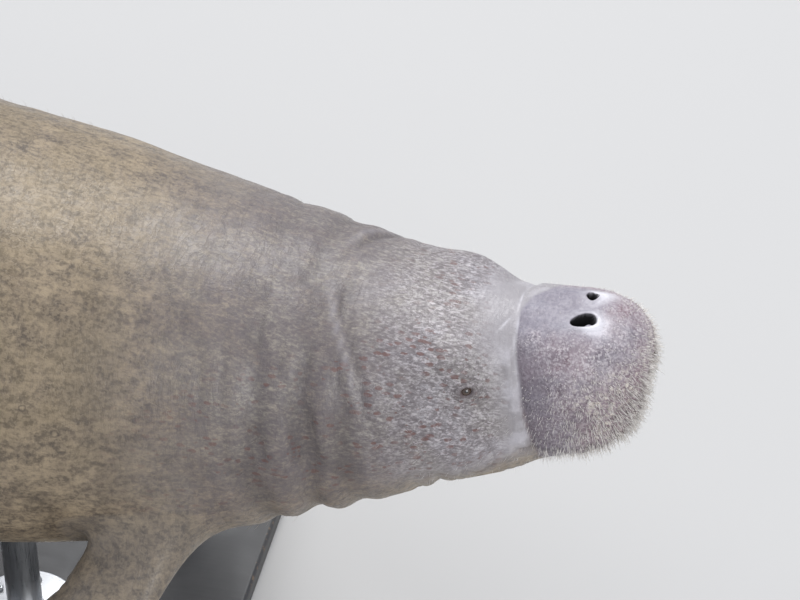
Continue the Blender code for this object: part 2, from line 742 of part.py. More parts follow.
def base_node(board):
    """The flat base, with round corners and a bevel round its top edge."""
    corners = []
    for cx, cy, start in ((1, 1, 0), (-1, 1, 90), (-1, -1, 180), (1, -1, 270)):
        middle = (cx * (BASE_SIZE[0] / 2 - BASE_CORNER), cy * (BASE_SIZE[1] / 2 - BASE_CORNER))
        for turn in range(0, 91, 15):
            a = math.radians(start + turn)
            corners.append((middle[0] + BASE_CORNER * math.cos(a), middle[1] + BASE_CORNER * math.sin(a)))
    bm = bmesh.new()
    rings = []
    for height, inset in ((0.0, 0.0), (BASE_SIZE[2] - BASE_BEVEL, 0.0), (BASE_SIZE[2], BASE_BEVEL)):
        shrink = (1 - 2 * inset / BASE_SIZE[0], 1 - 2 * inset / BASE_SIZE[1])
        rings.append([bm.verts.new((x * shrink[0], y * shrink[1], height)) for x, y in corners])
    for first, second in zip(rings, rings[1:]):
        join_rings(bm, first, second)
    bm.faces.new(rings[0])
    bm.faces.new(rings[-1])
    return new_object("stand_base", bm, board, math.radians(30))


def rod_node(label, s, metal, carried):
    """One rod with its foot flange, let into a fitted hole in the part of the body that it carries."""
    x = float(posed((s, 0.0, -0.3))[0])
    foot = BASE_SIZE[2] + TOUCH_GAP
    top = belly_bottom(x) + ROD_DEPTH_IN_BODY
    profile = (
        (FLANGE_RADIUS, foot),
        (FLANGE_RADIUS, foot + FLANGE_THICKNESS - FLANGE_BEVEL),
        (FLANGE_RADIUS - FLANGE_BEVEL, foot + FLANGE_THICKNESS),
        (ROD_RADIUS, foot + FLANGE_THICKNESS),
        (ROD_RADIUS, top),
    )
    turned(f"stand_rod_{label}", profile, (x, 0.0), metal)
    hole = ((ROD_RADIUS + TOUCH_GAP, foot), (ROD_RADIUS + TOUCH_GAP, top + TOUCH_GAP))
    cutter = as_cutter(turned("rod_hole", hole, (x, 0.0), None))
    apply_boolean(carried, cutter, "DIFFERENCE")
    bpy.data.objects.remove(cutter)


def main():
    clear_scene()
    centre_spine()
    skin = make_material("skin", SKIN_GREY, 0.55)
    fin_skin = make_material("fin_skin", SKIN_DARK, 0.55)
    eye_dark = make_material("eye_dark", EYE_BROWN, 0.12)
    horn = make_material("horn", NAIL_HORN, 0.4)
    metal = make_material("brushed_metal", STEEL_GREY, 0.35, 1.0)
    board = make_material("painted_board", BOARD_GREY, 0.5)

    half_gap = TOUCH_GAP / 2
    head_nodes(skin, eye_dark)
    neck_stops = np.linspace(HEAD_END + half_gap, NECK_END - half_gap, 17)
    body_node("neck", skin, neck_stops, BODY_COLUMNS)
    flippers = {1: Flipper(1), -1: Flipper(-1)}
    chest_stops = np.concatenate([
        [NECK_END + half_gap],
        np.linspace(0.602, 0.80, HOLE_RINGS + 1),
        np.linspace(0.86, CHEST_END - half_gap, 4),
    ])
    chest = chest_node(skin, flippers, chest_stops, 1)
    belly_stops = np.linspace(CHEST_END + half_gap, BELLY_END - half_gap, 12)
    belly = body_node("belly", skin, belly_stops, BODY_COLUMNS)
    stock_stops = np.linspace(BELLY_END + half_gap, TAIL_STOCK_END - half_gap, 15)
    body_node("tail_stock", skin, stock_stops, TAIL_COLUMNS)
    body_node("tail_paddle", fin_skin, paddle_stops(), TAIL_COLUMNS)
    for side, label in ((1, "left"), (-1, "right")):
        blade = flipper_node(f"flipper_{label}", fin_skin, flippers[side])
        nail_nodes(label, flippers[side], blade, horn)
    base_node(board)
    rod_node("front", ROD_STATIONS[0], metal, chest)
    rod_node("rear", ROD_STATIONS[1], metal, belly)


main()
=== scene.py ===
import math

import bpy
import numpy as np
from mathutils import Matrix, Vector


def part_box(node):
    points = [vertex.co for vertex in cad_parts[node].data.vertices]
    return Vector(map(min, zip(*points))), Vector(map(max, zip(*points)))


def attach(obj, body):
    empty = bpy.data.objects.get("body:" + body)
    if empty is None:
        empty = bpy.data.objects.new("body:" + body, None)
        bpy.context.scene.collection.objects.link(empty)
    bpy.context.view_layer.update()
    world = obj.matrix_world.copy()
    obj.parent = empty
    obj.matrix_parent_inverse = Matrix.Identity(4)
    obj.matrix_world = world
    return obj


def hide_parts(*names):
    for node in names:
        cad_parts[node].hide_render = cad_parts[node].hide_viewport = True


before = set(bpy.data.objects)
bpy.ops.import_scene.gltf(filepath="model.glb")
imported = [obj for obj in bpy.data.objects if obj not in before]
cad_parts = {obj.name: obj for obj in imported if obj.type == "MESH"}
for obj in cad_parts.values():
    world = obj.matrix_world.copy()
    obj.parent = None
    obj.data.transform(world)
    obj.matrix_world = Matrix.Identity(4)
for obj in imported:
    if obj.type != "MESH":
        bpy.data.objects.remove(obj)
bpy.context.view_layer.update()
print("frame loaded:", len(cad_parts), "nodes")


# Small helpers for arrays of points

def smoothStep(start, end, value):
    # 0 before start and 1 after end, level at both
    t = np.clip((value - start) / (end - start), 0.0, 1.0)
    return t * t * (3 - 2 * t)


def bump(distance, width):
    # a bell of height 1: e to the minus distance over width, squared
    return np.exp(-((distance / width) ** 2))


def swell(distance, bell):
    # a bell of that height, middle and width
    height, middle, width = bell
    return height * bump(distance - middle, width)


def circle(count):
    # that many angles, evenly spaced once round
    return np.arange(count) * 2 * math.pi / count


def unit(vectors):
    # each vector over its length
    lengths = np.linalg.norm(vectors, axis=-1, keepdims=True)
    return vectors / np.maximum(lengths, 1e-9)


def latticeNoise(points, size, seed):
    # random values at the corners of cells of that size, blended by t*t*(3-2t) along each axis: -1 to 1
    place = np.asarray(points, float) / size + 0.37 * seed
    cell = np.floor(place).astype(np.int64)
    share = place - cell
    share = share * share * (3 - 2 * share)
    total = np.zeros(place.shape[:-1])
    for corner in range(8):
        step = np.array([corner & 1, corner >> 1 & 1, corner >> 2])
        at = cell + step
        mixed = (at[..., 0] * 73856093) ^ (at[..., 1] * 19349663) ^ (at[..., 2] * 83492791) ^ (seed * 7919)
        mixed = ((mixed ^ (mixed >> 15)) * 2246822519) & 0xFFFFFFFF
        mixed = ((mixed ^ (mixed >> 13)) * 3266489917) & 0xFFFFFFFF
        value = (mixed ^ (mixed >> 16)) / 2.0**31 - 1
        total += value * np.prod(np.where(step == 1, share, 1 - share), axis=-1)
    return total


def creaseLines(points, size, width, seed):
    # 1 on the winding lines where the noise crosses zero, falling to 0 beside them
    return bump(latticeNoise(points, size, seed), width)


def meshPiece(name, points, quads, triangles):
    # one object from points and faces, at the origin
    quads, triangles = np.asarray(quads).reshape(-1, 4), np.asarray(triangles).reshape(-1, 3)
    mesh = bpy.data.meshes.new(name)
    corners = np.concatenate([quads.ravel(), triangles.ravel()]).astype(np.int32)
    sizes = np.concatenate([np.full(len(quads), 4), np.full(len(triangles), 3)])
    mesh.vertices.add(len(points))
    mesh.vertices.foreach_set("co", np.asarray(points, np.float32).ravel())
    mesh.loops.add(len(corners))
    mesh.loops.foreach_set("vertex_index", corners)
    mesh.polygons.add(len(sizes))
    mesh.polygons.foreach_set("loop_start", (np.cumsum(sizes) - sizes).astype(np.int32))
    mesh.update(calc_edges=True)
    mesh.polygons.foreach_set("use_smooth", np.full(len(sizes), True))
    obj = bpy.data.objects.new(name, mesh)
    bpy.context.scene.collection.objects.link(obj)
    return obj


def giveValues(obj, values):
    # one named number for each point, which the materials read
    for name, numbers in values.items():
        layer = obj.data.attributes.new(name, "FLOAT", "POINT")
        layer.data.foreach_set("value", np.asarray(numbers, np.float32).ravel())


def giveMap(obj, pointMap):
    # a UV map from one place for each point
    corner = np.zeros(len(obj.data.loops), np.int32)
    obj.data.loops.foreach_get("vertex_index", corner)
    layer = obj.data.uv_layers.new(name="OFBake")
    layer.uv.foreach_set("vector", np.asarray(pointMap, np.float32)[corner].ravel())


def gridNormals(grid):
    # unit directions square to a grid of closed rings, across each point's neighbours along and round it
    along = np.gradient(grid, axis=0)
    around = np.roll(grid, -1, axis=1) - np.roll(grid, 1, axis=1)
    return unit(np.cross(along, around))


def ringFaces(rows, columns):
    # quads of a grid of closed rings, first along the rows and then round
    i, k = np.meshgrid(np.arange(rows - 1), np.arange(columns), indexing="ij")
    after = (k + 1) % columns
    corners = [i * columns + k, (i + 1) * columns + k, (i + 1) * columns + after, i * columns + after]
    return np.stack(corners, axis=-1).reshape(-1, 4)


def tipFaces(ring, tip, flip=False):
    # triangles from a ring of point numbers to one point
    after = np.roll(ring, -1)
    faces = np.stack([ring, np.full(len(ring), tip), after], axis=-1)
    return faces[:, ::-1] if flip else faces


def ringsPiece(name, rings, flip=False):
    # a closed skin over stacked rings, with a point in the middle of each end
    rings = np.asarray(rings, float)
    rows, columns = rings.shape[:2]
    points = np.concatenate([rings.reshape(-1, 3), [rings[0].mean(axis=0)], [rings[-1].mean(axis=0)]])
    quads = ringFaces(rows, columns)
    first, last = np.arange(columns), (rows - 1) * columns + np.arange(columns)
    caps = np.concatenate([tipFaces(first, rows * columns, True), tipFaces(last, rows * columns + 1)])
    if flip:
        quads, caps = quads[:, ::-1], caps[:, ::-1]
    return meshPiece(name, points, quads, caps)


def finishPiece(piece, material, slot, *nodes):
    # gives a piece its material, hides the nodes that it stands for and hangs it from the body that carries
    # it; the slot is not used
    piece.data.materials.append(material)
    if nodes:
        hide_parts(*nodes)
    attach(piece, "root")


# Shader helpers

def addNode(tree, kind, inputs=None, **settings):
    # a node with its settings, whose inputs take links or values
    node = tree.nodes.new(kind)
    for name, value in settings.items():
        setattr(node, name, value)
    for socket, value in (inputs or {}).items():
        target = node.inputs[socket]
        if isinstance(value, bpy.types.NodeSocket):
            tree.links.new(value, target)
        else:
            target.default_value = value
    return node


def mathOf(tree, operation, first, second=0.0, clamp=False):
    sockets = {0: first, 1: second}
    return addNode(tree, "ShaderNodeMath", sockets, operation=operation, use_clamp=clamp).outputs[0]


def times(tree, first, *others):
    # the product of all the values
    for other in others:
        first = mathOf(tree, "MULTIPLY", first, other)
    return first


def plus(tree, first, second, clamp=False):
    return mathOf(tree, "ADD", first, second, clamp)


def minus(tree, first, second):
    return mathOf(tree, "SUBTRACT", first, second)


def awayFrom(tree, value, middle=0.0):
    # how far the value lies from the middle, on either side
    return mathOf(tree, "ABSOLUTE", minus(tree, value, middle) if middle else value)


def rangeOf(tree, value, low, high, toLow=0.0, toHigh=1.0):
    # a smooth step from toLow at low to toHigh at high
    inputs = {"Value": value, "From Min": low, "From Max": high, "To Min": toLow, "To Max": toHigh}
    return addNode(tree, "ShaderNodeMapRange", inputs, interpolation_type="SMOOTHSTEP").outputs[0]


def mixOf(tree, share, first, second, blend="MIX"):
    inputs = {0: share, 6: first, 7: second}
    return addNode(tree, "ShaderNodeMix", inputs, data_type="RGBA", blend_type=blend).outputs[2]


def valueBetween(tree, share, first, second):
    return addNode(tree, "ShaderNodeMix", {0: share, 2: first, 3: second}, data_type="FLOAT").outputs[0]


def noiseOf(tree, vector, scale, detail=3.0, roughness=0.55, distortion=0.0):
    inputs = dict(Vector=vector, Scale=scale, Detail=detail, Roughness=roughness, Distortion=distortion)
    return addNode(tree, "ShaderNodeTexNoise", inputs).outputs["Fac"]


def stretched(tree, vector, scale, turn=(0.0, 0.0, 0.0)):
    # places scaled and turned, so that a pattern is drawn out
    return addNode(tree, "ShaderNodeMapping", dict(Vector=vector, Scale=scale, Rotation=turn)).outputs[0]


def moved(tree, vector, offset):
    return addNode(tree, "ShaderNodeVectorMath", {0: vector, 1: offset}, operation="ADD").outputs[0]


def cellsOf(tree, vector, scale, randomness=1.0):
    # distance to the middle of the nearest cell, and the random colour of that cell
    inputs = dict(Vector=vector, Scale=scale, Randomness=randomness)
    cells = addNode(tree, "ShaderNodeTexVoronoi", inputs, feature="F1")
    return cells.outputs["Distance"], cells.outputs["Color"]


def shakenCells(tree, place, scale, tremor, reach, randomness=1.0):
    # cells whose outlines a noise of the scale tremor shakes by that reach
    noise = addNode(tree, "ShaderNodeTexNoise", dict(Vector=place, Scale=tremor, Detail=1.0))
    sockets = {0: noise.outputs["Color"], "Scale": reach}
    offset = addNode(tree, "ShaderNodeVectorMath", sockets, operation="SCALE").outputs[0]
    return cellsOf(tree, moved(tree, place, offset), scale, randomness)


def pointValue(tree, name):
    settings = dict(attribute_name=name, attribute_type="GEOMETRY")
    return addNode(tree, "ShaderNodeAttribute", **settings).outputs["Fac"]


def bumpOf(tree, height, strength, distance, below=None):
    inputs = {"Height": height, "Strength": strength, "Distance": distance}
    if below is not None:
        inputs["Normal"] = below
    return addNode(tree, "ShaderNodeBump", inputs).outputs[0]


def newMaterial(name):
    # a material with its shader and its Object coordinates
    material = bpy.data.materials.new(name)
    material.use_nodes = True
    tree = material.node_tree
    tree.nodes.clear()
    shader = addNode(tree, "ShaderNodeBsdfPrincipled")
    output = addNode(tree, "ShaderNodeOutputMaterial")
    tree.links.new(shader.outputs[0], output.inputs[0])
    place = addNode(tree, "ShaderNodeTexCoord").outputs["Object"]
    return material, tree, shader, place


def feed(tree, shader, colour, roughness, normal=None):
    # what changes over the surface goes to the shader
    for socket, value in (("Base Color", colour), ("Roughness", roughness), ("Normal", normal)):
        if value is not None:
            tree.links.new(value, shader.inputs[socket])


def newGroup(name, inputs, outputs):
    # an effect that several materials place, each with its own values
    group = bpy.data.node_groups.new(name, "ShaderNodeTree")
    for label, kind, value in inputs:
        socket = group.interface.new_socket(name=label, in_out="INPUT", socket_type="NodeSocket" + kind)
        if value is not None:
            socket.default_value = value
    for label, kind in outputs:
        group.interface.new_socket(name=label, in_out="OUTPUT", socket_type="NodeSocket" + kind)
    start = addNode(group, "NodeGroupInput")
    end = addNode(group, "NodeGroupOutput")
    return group, start.outputs, end.inputs


def placeGroup(tree, group, inputs):
    return addNode(tree, "ShaderNodeGroup", inputs, node_tree=group).outputs


# The animal's body, first lying straight: s back from the snout, y to its left, z over its axis

bodyShape = {
    "length": 3.0,
    "axisHeight": 0.70,
    "midBody": 1.30,
    "headLift": math.radians(13),
    "tailDrop": math.radians(11),
    "outlineSoftening": 0.022,
    "stations": (  # distance s, top, bottom, half width, height of the widest line
        (0.00, 0.048, -0.152, 0.100, -0.058),
        (0.10, 0.062, -0.180, 0.108, -0.060),
        (0.17, 0.070, -0.190, 0.110, -0.054),
        (0.20, 0.075, -0.192, 0.116, -0.052),
        (0.27, 0.094, -0.198, 0.148, -0.046),
        (0.36, 0.124, -0.212, 0.188, -0.041),
        (0.48, 0.164, -0.238, 0.224, -0.038),
        (0.62, 0.208, -0.270, 0.260, -0.040),
        (0.80, 0.250, -0.306, 0.302, -0.045),
        (1.05, 0.283, -0.338, 0.340, -0.045),
        (1.35, 0.295, -0.348, 0.358, -0.045),
        (1.65, 0.275, -0.325, 0.336, -0.035),
        (1.90, 0.228, -0.265, 0.276, -0.020),
        (2.10, 0.172, -0.190, 0.208, -0.005),
        (2.25, 0.130, -0.138, 0.176, 0.000),
        (2.38, 0.100, -0.100, 0.190, 0.000),
        (2.52, 0.072, -0.070, 0.262, 0.000),
        (2.66, 0.050, -0.048, 0.330, 0.000),
        (2.80, 0.036, -0.034, 0.360, 0.000),
        (3.00, 0.024, -0.022, 0.362, 0.000),
    ),
    "muzzleCap": 0.105,
    "muzzleCapPower": 2.45,
    "snoutHeight": -0.030,
    "muzzleLean": 0.34,
    "leanSoftening": 0.04,
    "leanEnds": (0.12, 0.24),
    "squareness": (2.1, 2.9, 2.2),  # over the widest line, under it at the muzzle, under it behind
    "paddleCapStart": 2.70,
    "paddleCapPower": 2.1,
    "paddleRim": 0.011,
    "paddleEndRound": 0.016,
    "paddleBlend": (2.12, 2.50),
    "headEnd": 0.36,
}


def softenedOutline():
    # each column of the stations as a dense curve over s, averaged under a bell
    rows = np.array(bodyShape["stations"])
    step, softening = 0.004, bodyShape["outlineSoftening"]
    dense = np.arange(-0.2, bodyShape["length"] + 0.2, step)
    reach = int(3 * softening / step)
    window = np.exp(-0.5 * (np.arange(-reach, reach + 1) * step / softening) ** 2)
    window /= window.sum()
    curves = []
    for column in rows.T[1:]:
        padded = np.pad(np.interp(dense, rows[:, 0], column), reach, mode="edge")
        curves.append(np.convolve(padded, window, mode="valid"))
    return dense, curves


outlineS, outlineCurves = softenedOutline()


def sectionPoints(s, phi):
    # a section is a rounded square: (cos, sin) of phi over the p-norm of both, stretched to its width and
    # height. The muzzle's front closes it by a power curve, and the tail flattens it to a lens with a rim
    shape = bodyShape
    top, bottom, halfWidth, middle = [np.interp(s, outlineS, curve) for curve in outlineCurves]
    capShare = np.clip(s / shape["muzzleCap"], 0.0, 1.0)
    power = shape["muzzleCapPower"]
    cap = (1 - (1 - capShare) ** power) ** (1 / power)
    snout = shape["snoutHeight"]
    top, bottom, middle = (snout + (level - snout) * cap for level in (top, bottom, middle))
    start = shape["paddleCapStart"]
    tailShare = np.clip((s - start) / (shape["length"] - start), 0.0, 1.0)
    halfWidth = halfWidth * cap * (1 - tailShare ** shape["paddleCapPower"]) ** 0.5
    roundEnd = shape["paddleEndRound"]
    endShare = np.clip((s - shape["length"] + roundEnd) / roundEnd, 0.0, 1.0)
    thinning = (1 - endShare**2) ** 0.5

    cosine, sine = np.cos(phi), np.sin(phi)
    over, underMuzzle, underBody = shape["squareness"]
    under = underMuzzle + (underBody - underMuzzle) * smoothStep(0.12, 0.34, s)
    power = over + (under - over) * smoothStep(0.15, -0.15, sine)
    reach = (np.abs(cosine) ** power + np.abs(sine) ** power) ** (-1 / power)
    halfHeight = np.where(sine > 0, top - middle, middle - bottom)
    bodyY = halfWidth * reach * cosine
    bodyZ = middle + halfHeight * reach * sine

    across = np.abs(cosine) ** 0.85
    rim = shape["paddleRim"]
    lens = rim * (1 - across**20) ** 0.5 + (halfHeight - rim) * (1 - across**2) ** 1.4
    paddleY = halfWidth * np.sign(cosine) * across
    paddleZ = middle + np.sign(sine) * lens * thinning
    blend = smoothStep(*shape["paddleBlend"], s)
    return bodyY * (1 - blend) + paddleY * blend, bodyZ * (1 - blend) + paddleZ * blend


def plainPoints(s, phi):
    # the section at s, leaned back below the snout
    y, z = sectionPoints(s, phi)
    softening = bodyShape["leanSoftening"]
    depth = bodyShape["snoutHeight"] - z
    underSnout = (depth + np.sqrt(depth**2 + softening**2) - softening) / 2
    lean = bodyShape["muzzleLean"] * (1 - smoothStep(*bodyShape["leanEnds"], s))
    return np.stack([s + lean * underSnout, y, z], axis=-1)


def outwardOf(grid):
    # outward directions of a straight grid, whose rows run backward
    return -gridNormals(grid)


# Lips, nose, cheeks, brows and folds, as the solids have them

faceShape = {
    "lumps": (  # centre on the left side, half sizes, height
        ((0.075, 0.058, -0.096), (0.060, 0.040, 0.034), 0.010),
        ((0.088, 0.028, 0.062), (0.040, 0.026, 0.026), 0.003),
        ((0.160, 0.090, -0.060), (0.034, 0.060, 0.050), 0.005),
        ((0.265, 0.125, -0.080), (0.060, 0.060, 0.055), 0.010),
        ((0.258, 0.100, 0.055), (0.062, 0.042, 0.036), 0.016),
        ((0.185, 0.075, 0.055), (0.022, 0.050, 0.040), -0.005),
        ((0.125, 0.000, -0.190), (0.060, 0.052, 0.050), 0.018),
    ),
    "creaseS": 0.170,
    "creaseBow": 0.3,
    "creaseGroove": (0.006, 0.0, 0.008),  # each groove's depth, middle and width
    "cleftGroove": (0.007, 0.0, 0.014),
    "throatGroove": (0.006, 0.0, 0.011),
    "throatFolds": ((0.310, 0.20), (0.345, 0.25)),  # distance s and lean
    "mouthFront": (0.020, -0.120),
    "mouthMiddle": (0.100, -0.130),
    "mouthCorner": (0.178, -0.106),
    "lipOverhang": 0.010,
    "overhangEnds": (0.200, 0.105),
}
foldRows = (  # distance s, width, depth, forward lean upward, phase of its waves
    (0.402, 0.015, 0.006, 0.16, 0.4),
    (0.456, 0.017, 0.011, 0.10, 1.9),
    (0.522, 0.017, 0.008, 0.04, 3.6),
    (1.98, 0.022, 0.004, 0.05, 0.8),
    (2.10, 0.020, 0.006, 0.02, 2.6),
    (2.23, 0.020, 0.005, 0.00, 4.1),
)


def mirrored(points):
    # every point as if it were on the left side
    return np.stack([points[..., 0], np.abs(points[..., 1]), points[..., 2]], axis=-1)


def mouthHeight(s):
    # height of the line of the mouth: two smooth steps, front to middle and middle to corner
    front, middle, corner = faceShape["mouthFront"], faceShape["mouthMiddle"], faceShape["mouthCorner"]
    ahead = (middle[1] - front[1]) * smoothStep(front[0], middle[0], s)
    return front[1] + ahead + (corner[1] - middle[1]) * smoothStep(middle[0], corner[0], s)


def creaseDistance(points):
    # how far a point lies behind the crease that bounds the muzzle
    return points[..., 0] - faceShape["creaseS"] + faceShape["creaseBow"] * points[..., 1] ** 2


def faceRelief(grid):
    # swellings as bells round their centres, less the grooves of the crease, the cleft and two throat folds
    s, y, z = grid[..., 0], grid[..., 1], grid[..., 2]
    left = mirrored(grid)
    relief = np.zeros_like(s)
    for centre, radii, height in faceShape["lumps"]:
        relief += height * np.exp(-(((left - centre) / np.array(radii)) ** 2).sum(axis=-1))
    relief -= swell(creaseDistance(grid), faceShape["creaseGroove"]) * smoothStep(-0.15, -0.10, z)
    relief -= swell(y, faceShape["cleftGroove"]) * smoothStep(0.085, 0.045, s) * smoothStep(0.0, -0.06, z)
    for foldS, lean in faceShape["throatFolds"]:
        groove = swell(s - foldS + lean * (z + 0.16), faceShape["throatGroove"])
        relief -= groove * smoothStep(-0.07, -0.15, z)
    return relief * smoothStep(bodyShape["headEnd"], bodyShape["headEnd"] - 0.03, s)


def foldDistances(s, z, phi):
    # for each fold, how far behind it a point lies, with its width and depth
    for place, width, depth, lean, phase in foldRows:
        waves = 0.007 * np.sin(2 * phi + phase) + 0.004 * np.sin(5 * phi + 2 * phase)
        yield s - place + lean * z + waves, width, depth


def foldStrength(phi):
    # full below and a quarter over the back
    return 0.25 + 0.75 * smoothStep(0.9, 0.1, np.sin(phi))


def foldRelief(s, z, phi):
    # a groove with a low roll behind it for each fold, faint over the back
    relief = np.zeros_like(s)
    for distance, width, depth in foldDistances(s, z, phi):
        relief -= depth * bump(distance, width)
        relief += 0.3 * depth * bump(distance - 2 * width, 1.3 * width)
    return relief * foldStrength(phi)


def underLip(points):
    # 1 on the chin and the lower lip, 0 above the line of the mouth
    return smoothStep(0.0012, -0.0032, points[..., 2] - mouthHeight(points[..., 0]))


def shapedPoints(s, phi):
    # the straight body with its relief, the chin and lower lip drawn in under the upper lip
    grid = plainPoints(s, phi)
    y, z = grid[..., 1], grid[..., 2]
    inset = faceShape["lipOverhang"] * underLip(grid) * smoothStep(*faceShape["overhangEnds"], s)
    grid = grid + outwardOf(grid) * (faceRelief(grid) - inset)[..., None]
    sideways = unit(np.stack([np.zeros_like(y), y, z], axis=-1))
    return grid + sideways * foldRelief(s, z, phi)[..., None]


def spineTables():
    # the bent axis: its pitch rises over the neck and falls along the tail, summed into x and z
    s = np.linspace(-0.2, bodyShape["length"] + 0.2, 1701)
    pitch = bodyShape["headLift"] * smoothStep(0.95, 0.25, s)
    pitch = pitch + bodyShape["tailDrop"] * smoothStep(1.55, 2.60, s)
    step = s[1] - s[0]
    x, z = -np.cumsum(np.cos(pitch)) * step, -np.cumsum(np.sin(pitch)) * step
    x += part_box("tail_paddle")[0].x - np.interp(bodyShape["length"], s, x)
    z += bodyShape["axisHeight"] - np.interp(bodyShape["midBody"], s, z)
    return s, x, z, pitch


spineS, spineX, spineZ, spinePitch = spineTables()


def posed(points):
    # straight points carried onto the bent axis
    points = np.asarray(points, float)
    s, y, z = points[..., 0], points[..., 1], points[..., 2]
    pitch = np.interp(s, spineS, spinePitch)
    x = np.interp(s, spineS, spineX) - np.sin(pitch) * z
    return np.stack([x, y, np.interp(s, spineS, spineZ) + np.cos(pitch) * z], axis=-1)


def posedDirection(s, direction):
    # a direction of the straight body, bent with the spine there
    start = np.array([s, 0.0, 0.0])
    return unit(posed(start + np.asarray(direction) * 1e-3) - posed(start))


def localFrame(s, phi):
    # a point of the straight skin with its backward, round-going and outward directions
    rows, columns = np.meshgrid([s - 0.004, s, s + 0.004], [phi - 0.02, phi, phi + 0.02, phi + math.pi],
                                indexing="ij")
    patch = shapedPoints(rows, columns)
    back = unit(patch[2, 1] - patch[0, 1])
    around = patch[1, 2] - patch[1, 0]
    outward = unit(np.cross(around, back))
    return patch[1, 1], back, np.cross(back, outward), outward


# Eyes, nostrils and ear openings, each on its own place of the left side and mirrored

eyeShape = {
    "s": 0.236,
    "column": math.radians(27),
    "ball": 0.0110,
    "shown": 0.0018,  # how far the ball stands over the plain skin
    "cornea": 0.035,  # how much the middle of the ball bulges, as a share of its radius
    "corneaWidth": 0.45,  # an angle from the middle, as are the next two
    "pupilEdge": (0.16, 0.20),
    "irisEdge": (0.58, 0.70),
    "long": 1.30,
    "high": 0.84,
    "margin": 0.0061,  # half the opening, before it is made long and low
    "foldSpacing": 0.0044,
    "spokes": 9.0,
    "socket": 0.0105,
    "markReach": 0.08,  # how far round the eye its folds may be drawn
}
nostrilShape = {
    "s": 0.083,
    "column": math.radians(75),
    "turn": math.radians(20),  # how far its rear end turns away from the midline
    "long": 0.0182,
    "wide": 0.0104,
    "depth": 0.026,
    "taper": 0.28,  # how much narrower its rear end is
    "flapPlace": (-0.0070, -0.0098),
    "flapRadius": 0.0066,
    "leftShare": (0.44, 0.86),  # the left one is partly shut, so it is shorter and narrower
    "leftShift": (0.0045, 0.0030),  # and its middle lies forward and inward
}
earShape = {"s": 0.335, "column": math.radians(24), "radius": 0.0018, "depth": 0.004}


def featureFrame(shape):
    # where a feature of the face lies on the straight skin, with its directions
    point, back, around, outward = localFrame(shape["s"], shape["column"])
    return {"point": point, "back": back, "around": around, "outward": outward}


eyeFrame, nostrilFrame, earFrame = (featureFrame(shape) for shape in (eyeShape, nostrilShape, earShape))
turnCos, turnSin = math.cos(nostrilShape["turn"]), math.sin(nostrilShape["turn"])
nostrilFrame.update(back=nostrilFrame["back"] * turnCos - nostrilFrame["around"] * turnSin,
                    around=nostrilFrame["around"] * turnCos + nostrilFrame["back"] * turnSin)


def across(points, place):
    # distances back, round and outward from a feature's middle
    offset = mirrored(points) - place["point"]
    return [offset @ place[name] for name in ("back", "around", "outward")]


def eyeDistance(points):
    # distance from the middle of the eye, as if its opening were round
    back, around, _ = across(points, eyeFrame)
    return np.hypot(back / eyeShape["long"], around / eyeShape["high"])


def nostrilShare(points):
    # 0 in the middle of the nostril and 1 on its rim
    back, around, _ = across(points, nostrilFrame)
    onLeft = points[..., 1] > 0
    shares, shift = nostrilShape["leftShare"], nostrilShape["leftShift"]
    back = np.where(onLeft, (back + shift[0]) / shares[0], back)
    around = np.where(onLeft, (around - shift[1]) / shares[1], around)
    wide = nostrilShape["wide"] * (1 - nostrilShape["taper"] * np.clip(back / nostrilShape["long"], -1, 1))
    return (np.abs(back / nostrilShape["long"]) ** 2.3 + np.abs(around / wide) ** 2.3) ** (1 / 2.3)


def earDistance(points):
    back, around, _ = across(points, earFrame)
    return np.hypot(back, around)


def mouthReach(points):
    # 1 along the line of the mouth, fading out behind its corner
    corner = faceShape["mouthCorner"][0]
    return smoothStep(corner + 0.014, corner - 0.004, points[..., 0])


edges = (  # distance to each crisp edge, how far the grid is drawn in to it, how strongly
    (lambda p: p[..., 2] - mouthHeight(p[..., 0]), mouthReach, 0.018, 1.8),
    (lambda p: (nostrilShare(p) - 1) * 0.0135, lambda p: 1.0, 0.0090, 1.7),
    (lambda p: eyeDistance(p) - eyeShape["margin"], lambda p: 1.0, 0.0052, 1.7),
    (lambda p: earDistance(p) - earShape["radius"], lambda p: 1.0, 0.0017, 1.3),
)


def drawnTogether(s, phi):
    # slides the grid's points over the skin so that they crowd at the edges of lips, lids and nostrils:
    # a distance d within the reach w becomes w*(d/w)^p, by Newton steps along the distance's slope
    for distanceTo, strength, width, power in edges:
        here = plainPoints(s, phi)
        start = distanceTo(here)
        share = np.clip(np.abs(start) / width, 0.0, 1.0)
        goal = start + (np.sign(start) * width * share**power - start) * strength(here) * (share < 1)
        near = share < 1
        for _ in range(2):
            here = plainPoints(s, phi)
            alongS = (plainPoints(s + 1e-4, phi) - here) / 1e-4
            alongPhi = (plainPoints(s, phi + 1e-3) - here) / 1e-3
            now = distanceTo(here)
            slopeS = (distanceTo(plainPoints(s + 1e-4, phi)) - now) / 1e-4
            slopePhi = (distanceTo(plainPoints(s, phi + 1e-3)) - now) / 1e-3
            weightS = slopeS / np.maximum((alongS**2).sum(axis=-1), 1e-6)
            weightPhi = slopePhi / np.maximum((alongPhi**2).sum(axis=-1), 1e-6)
            total = np.maximum(slopeS * weightS + slopePhi * weightPhi, 1e-3)
            move = np.where(near, (goal - now) / total, 0.0)
            s = s + np.clip(move * weightS, -0.004, 0.004)
            phi = phi + np.clip(move * weightPhi, -0.06, 0.06)
    return s, phi


# The grid of the skin: fine rings on the head, coarser ones behind

gridShape = {
    "headColumns": 320,
    "bodyColumns": 160,
    "headSpacing": 0.0031,
    "fineSpacing": 0.0018,
    "finePlaces": ((0.083, 0.016), (0.188, 0.012), (0.236, 0.013), (0.028, 0.008)),
    "holeRows": (0.602, 0.80, 14),
    "holeColumns": (-22, -6),
}


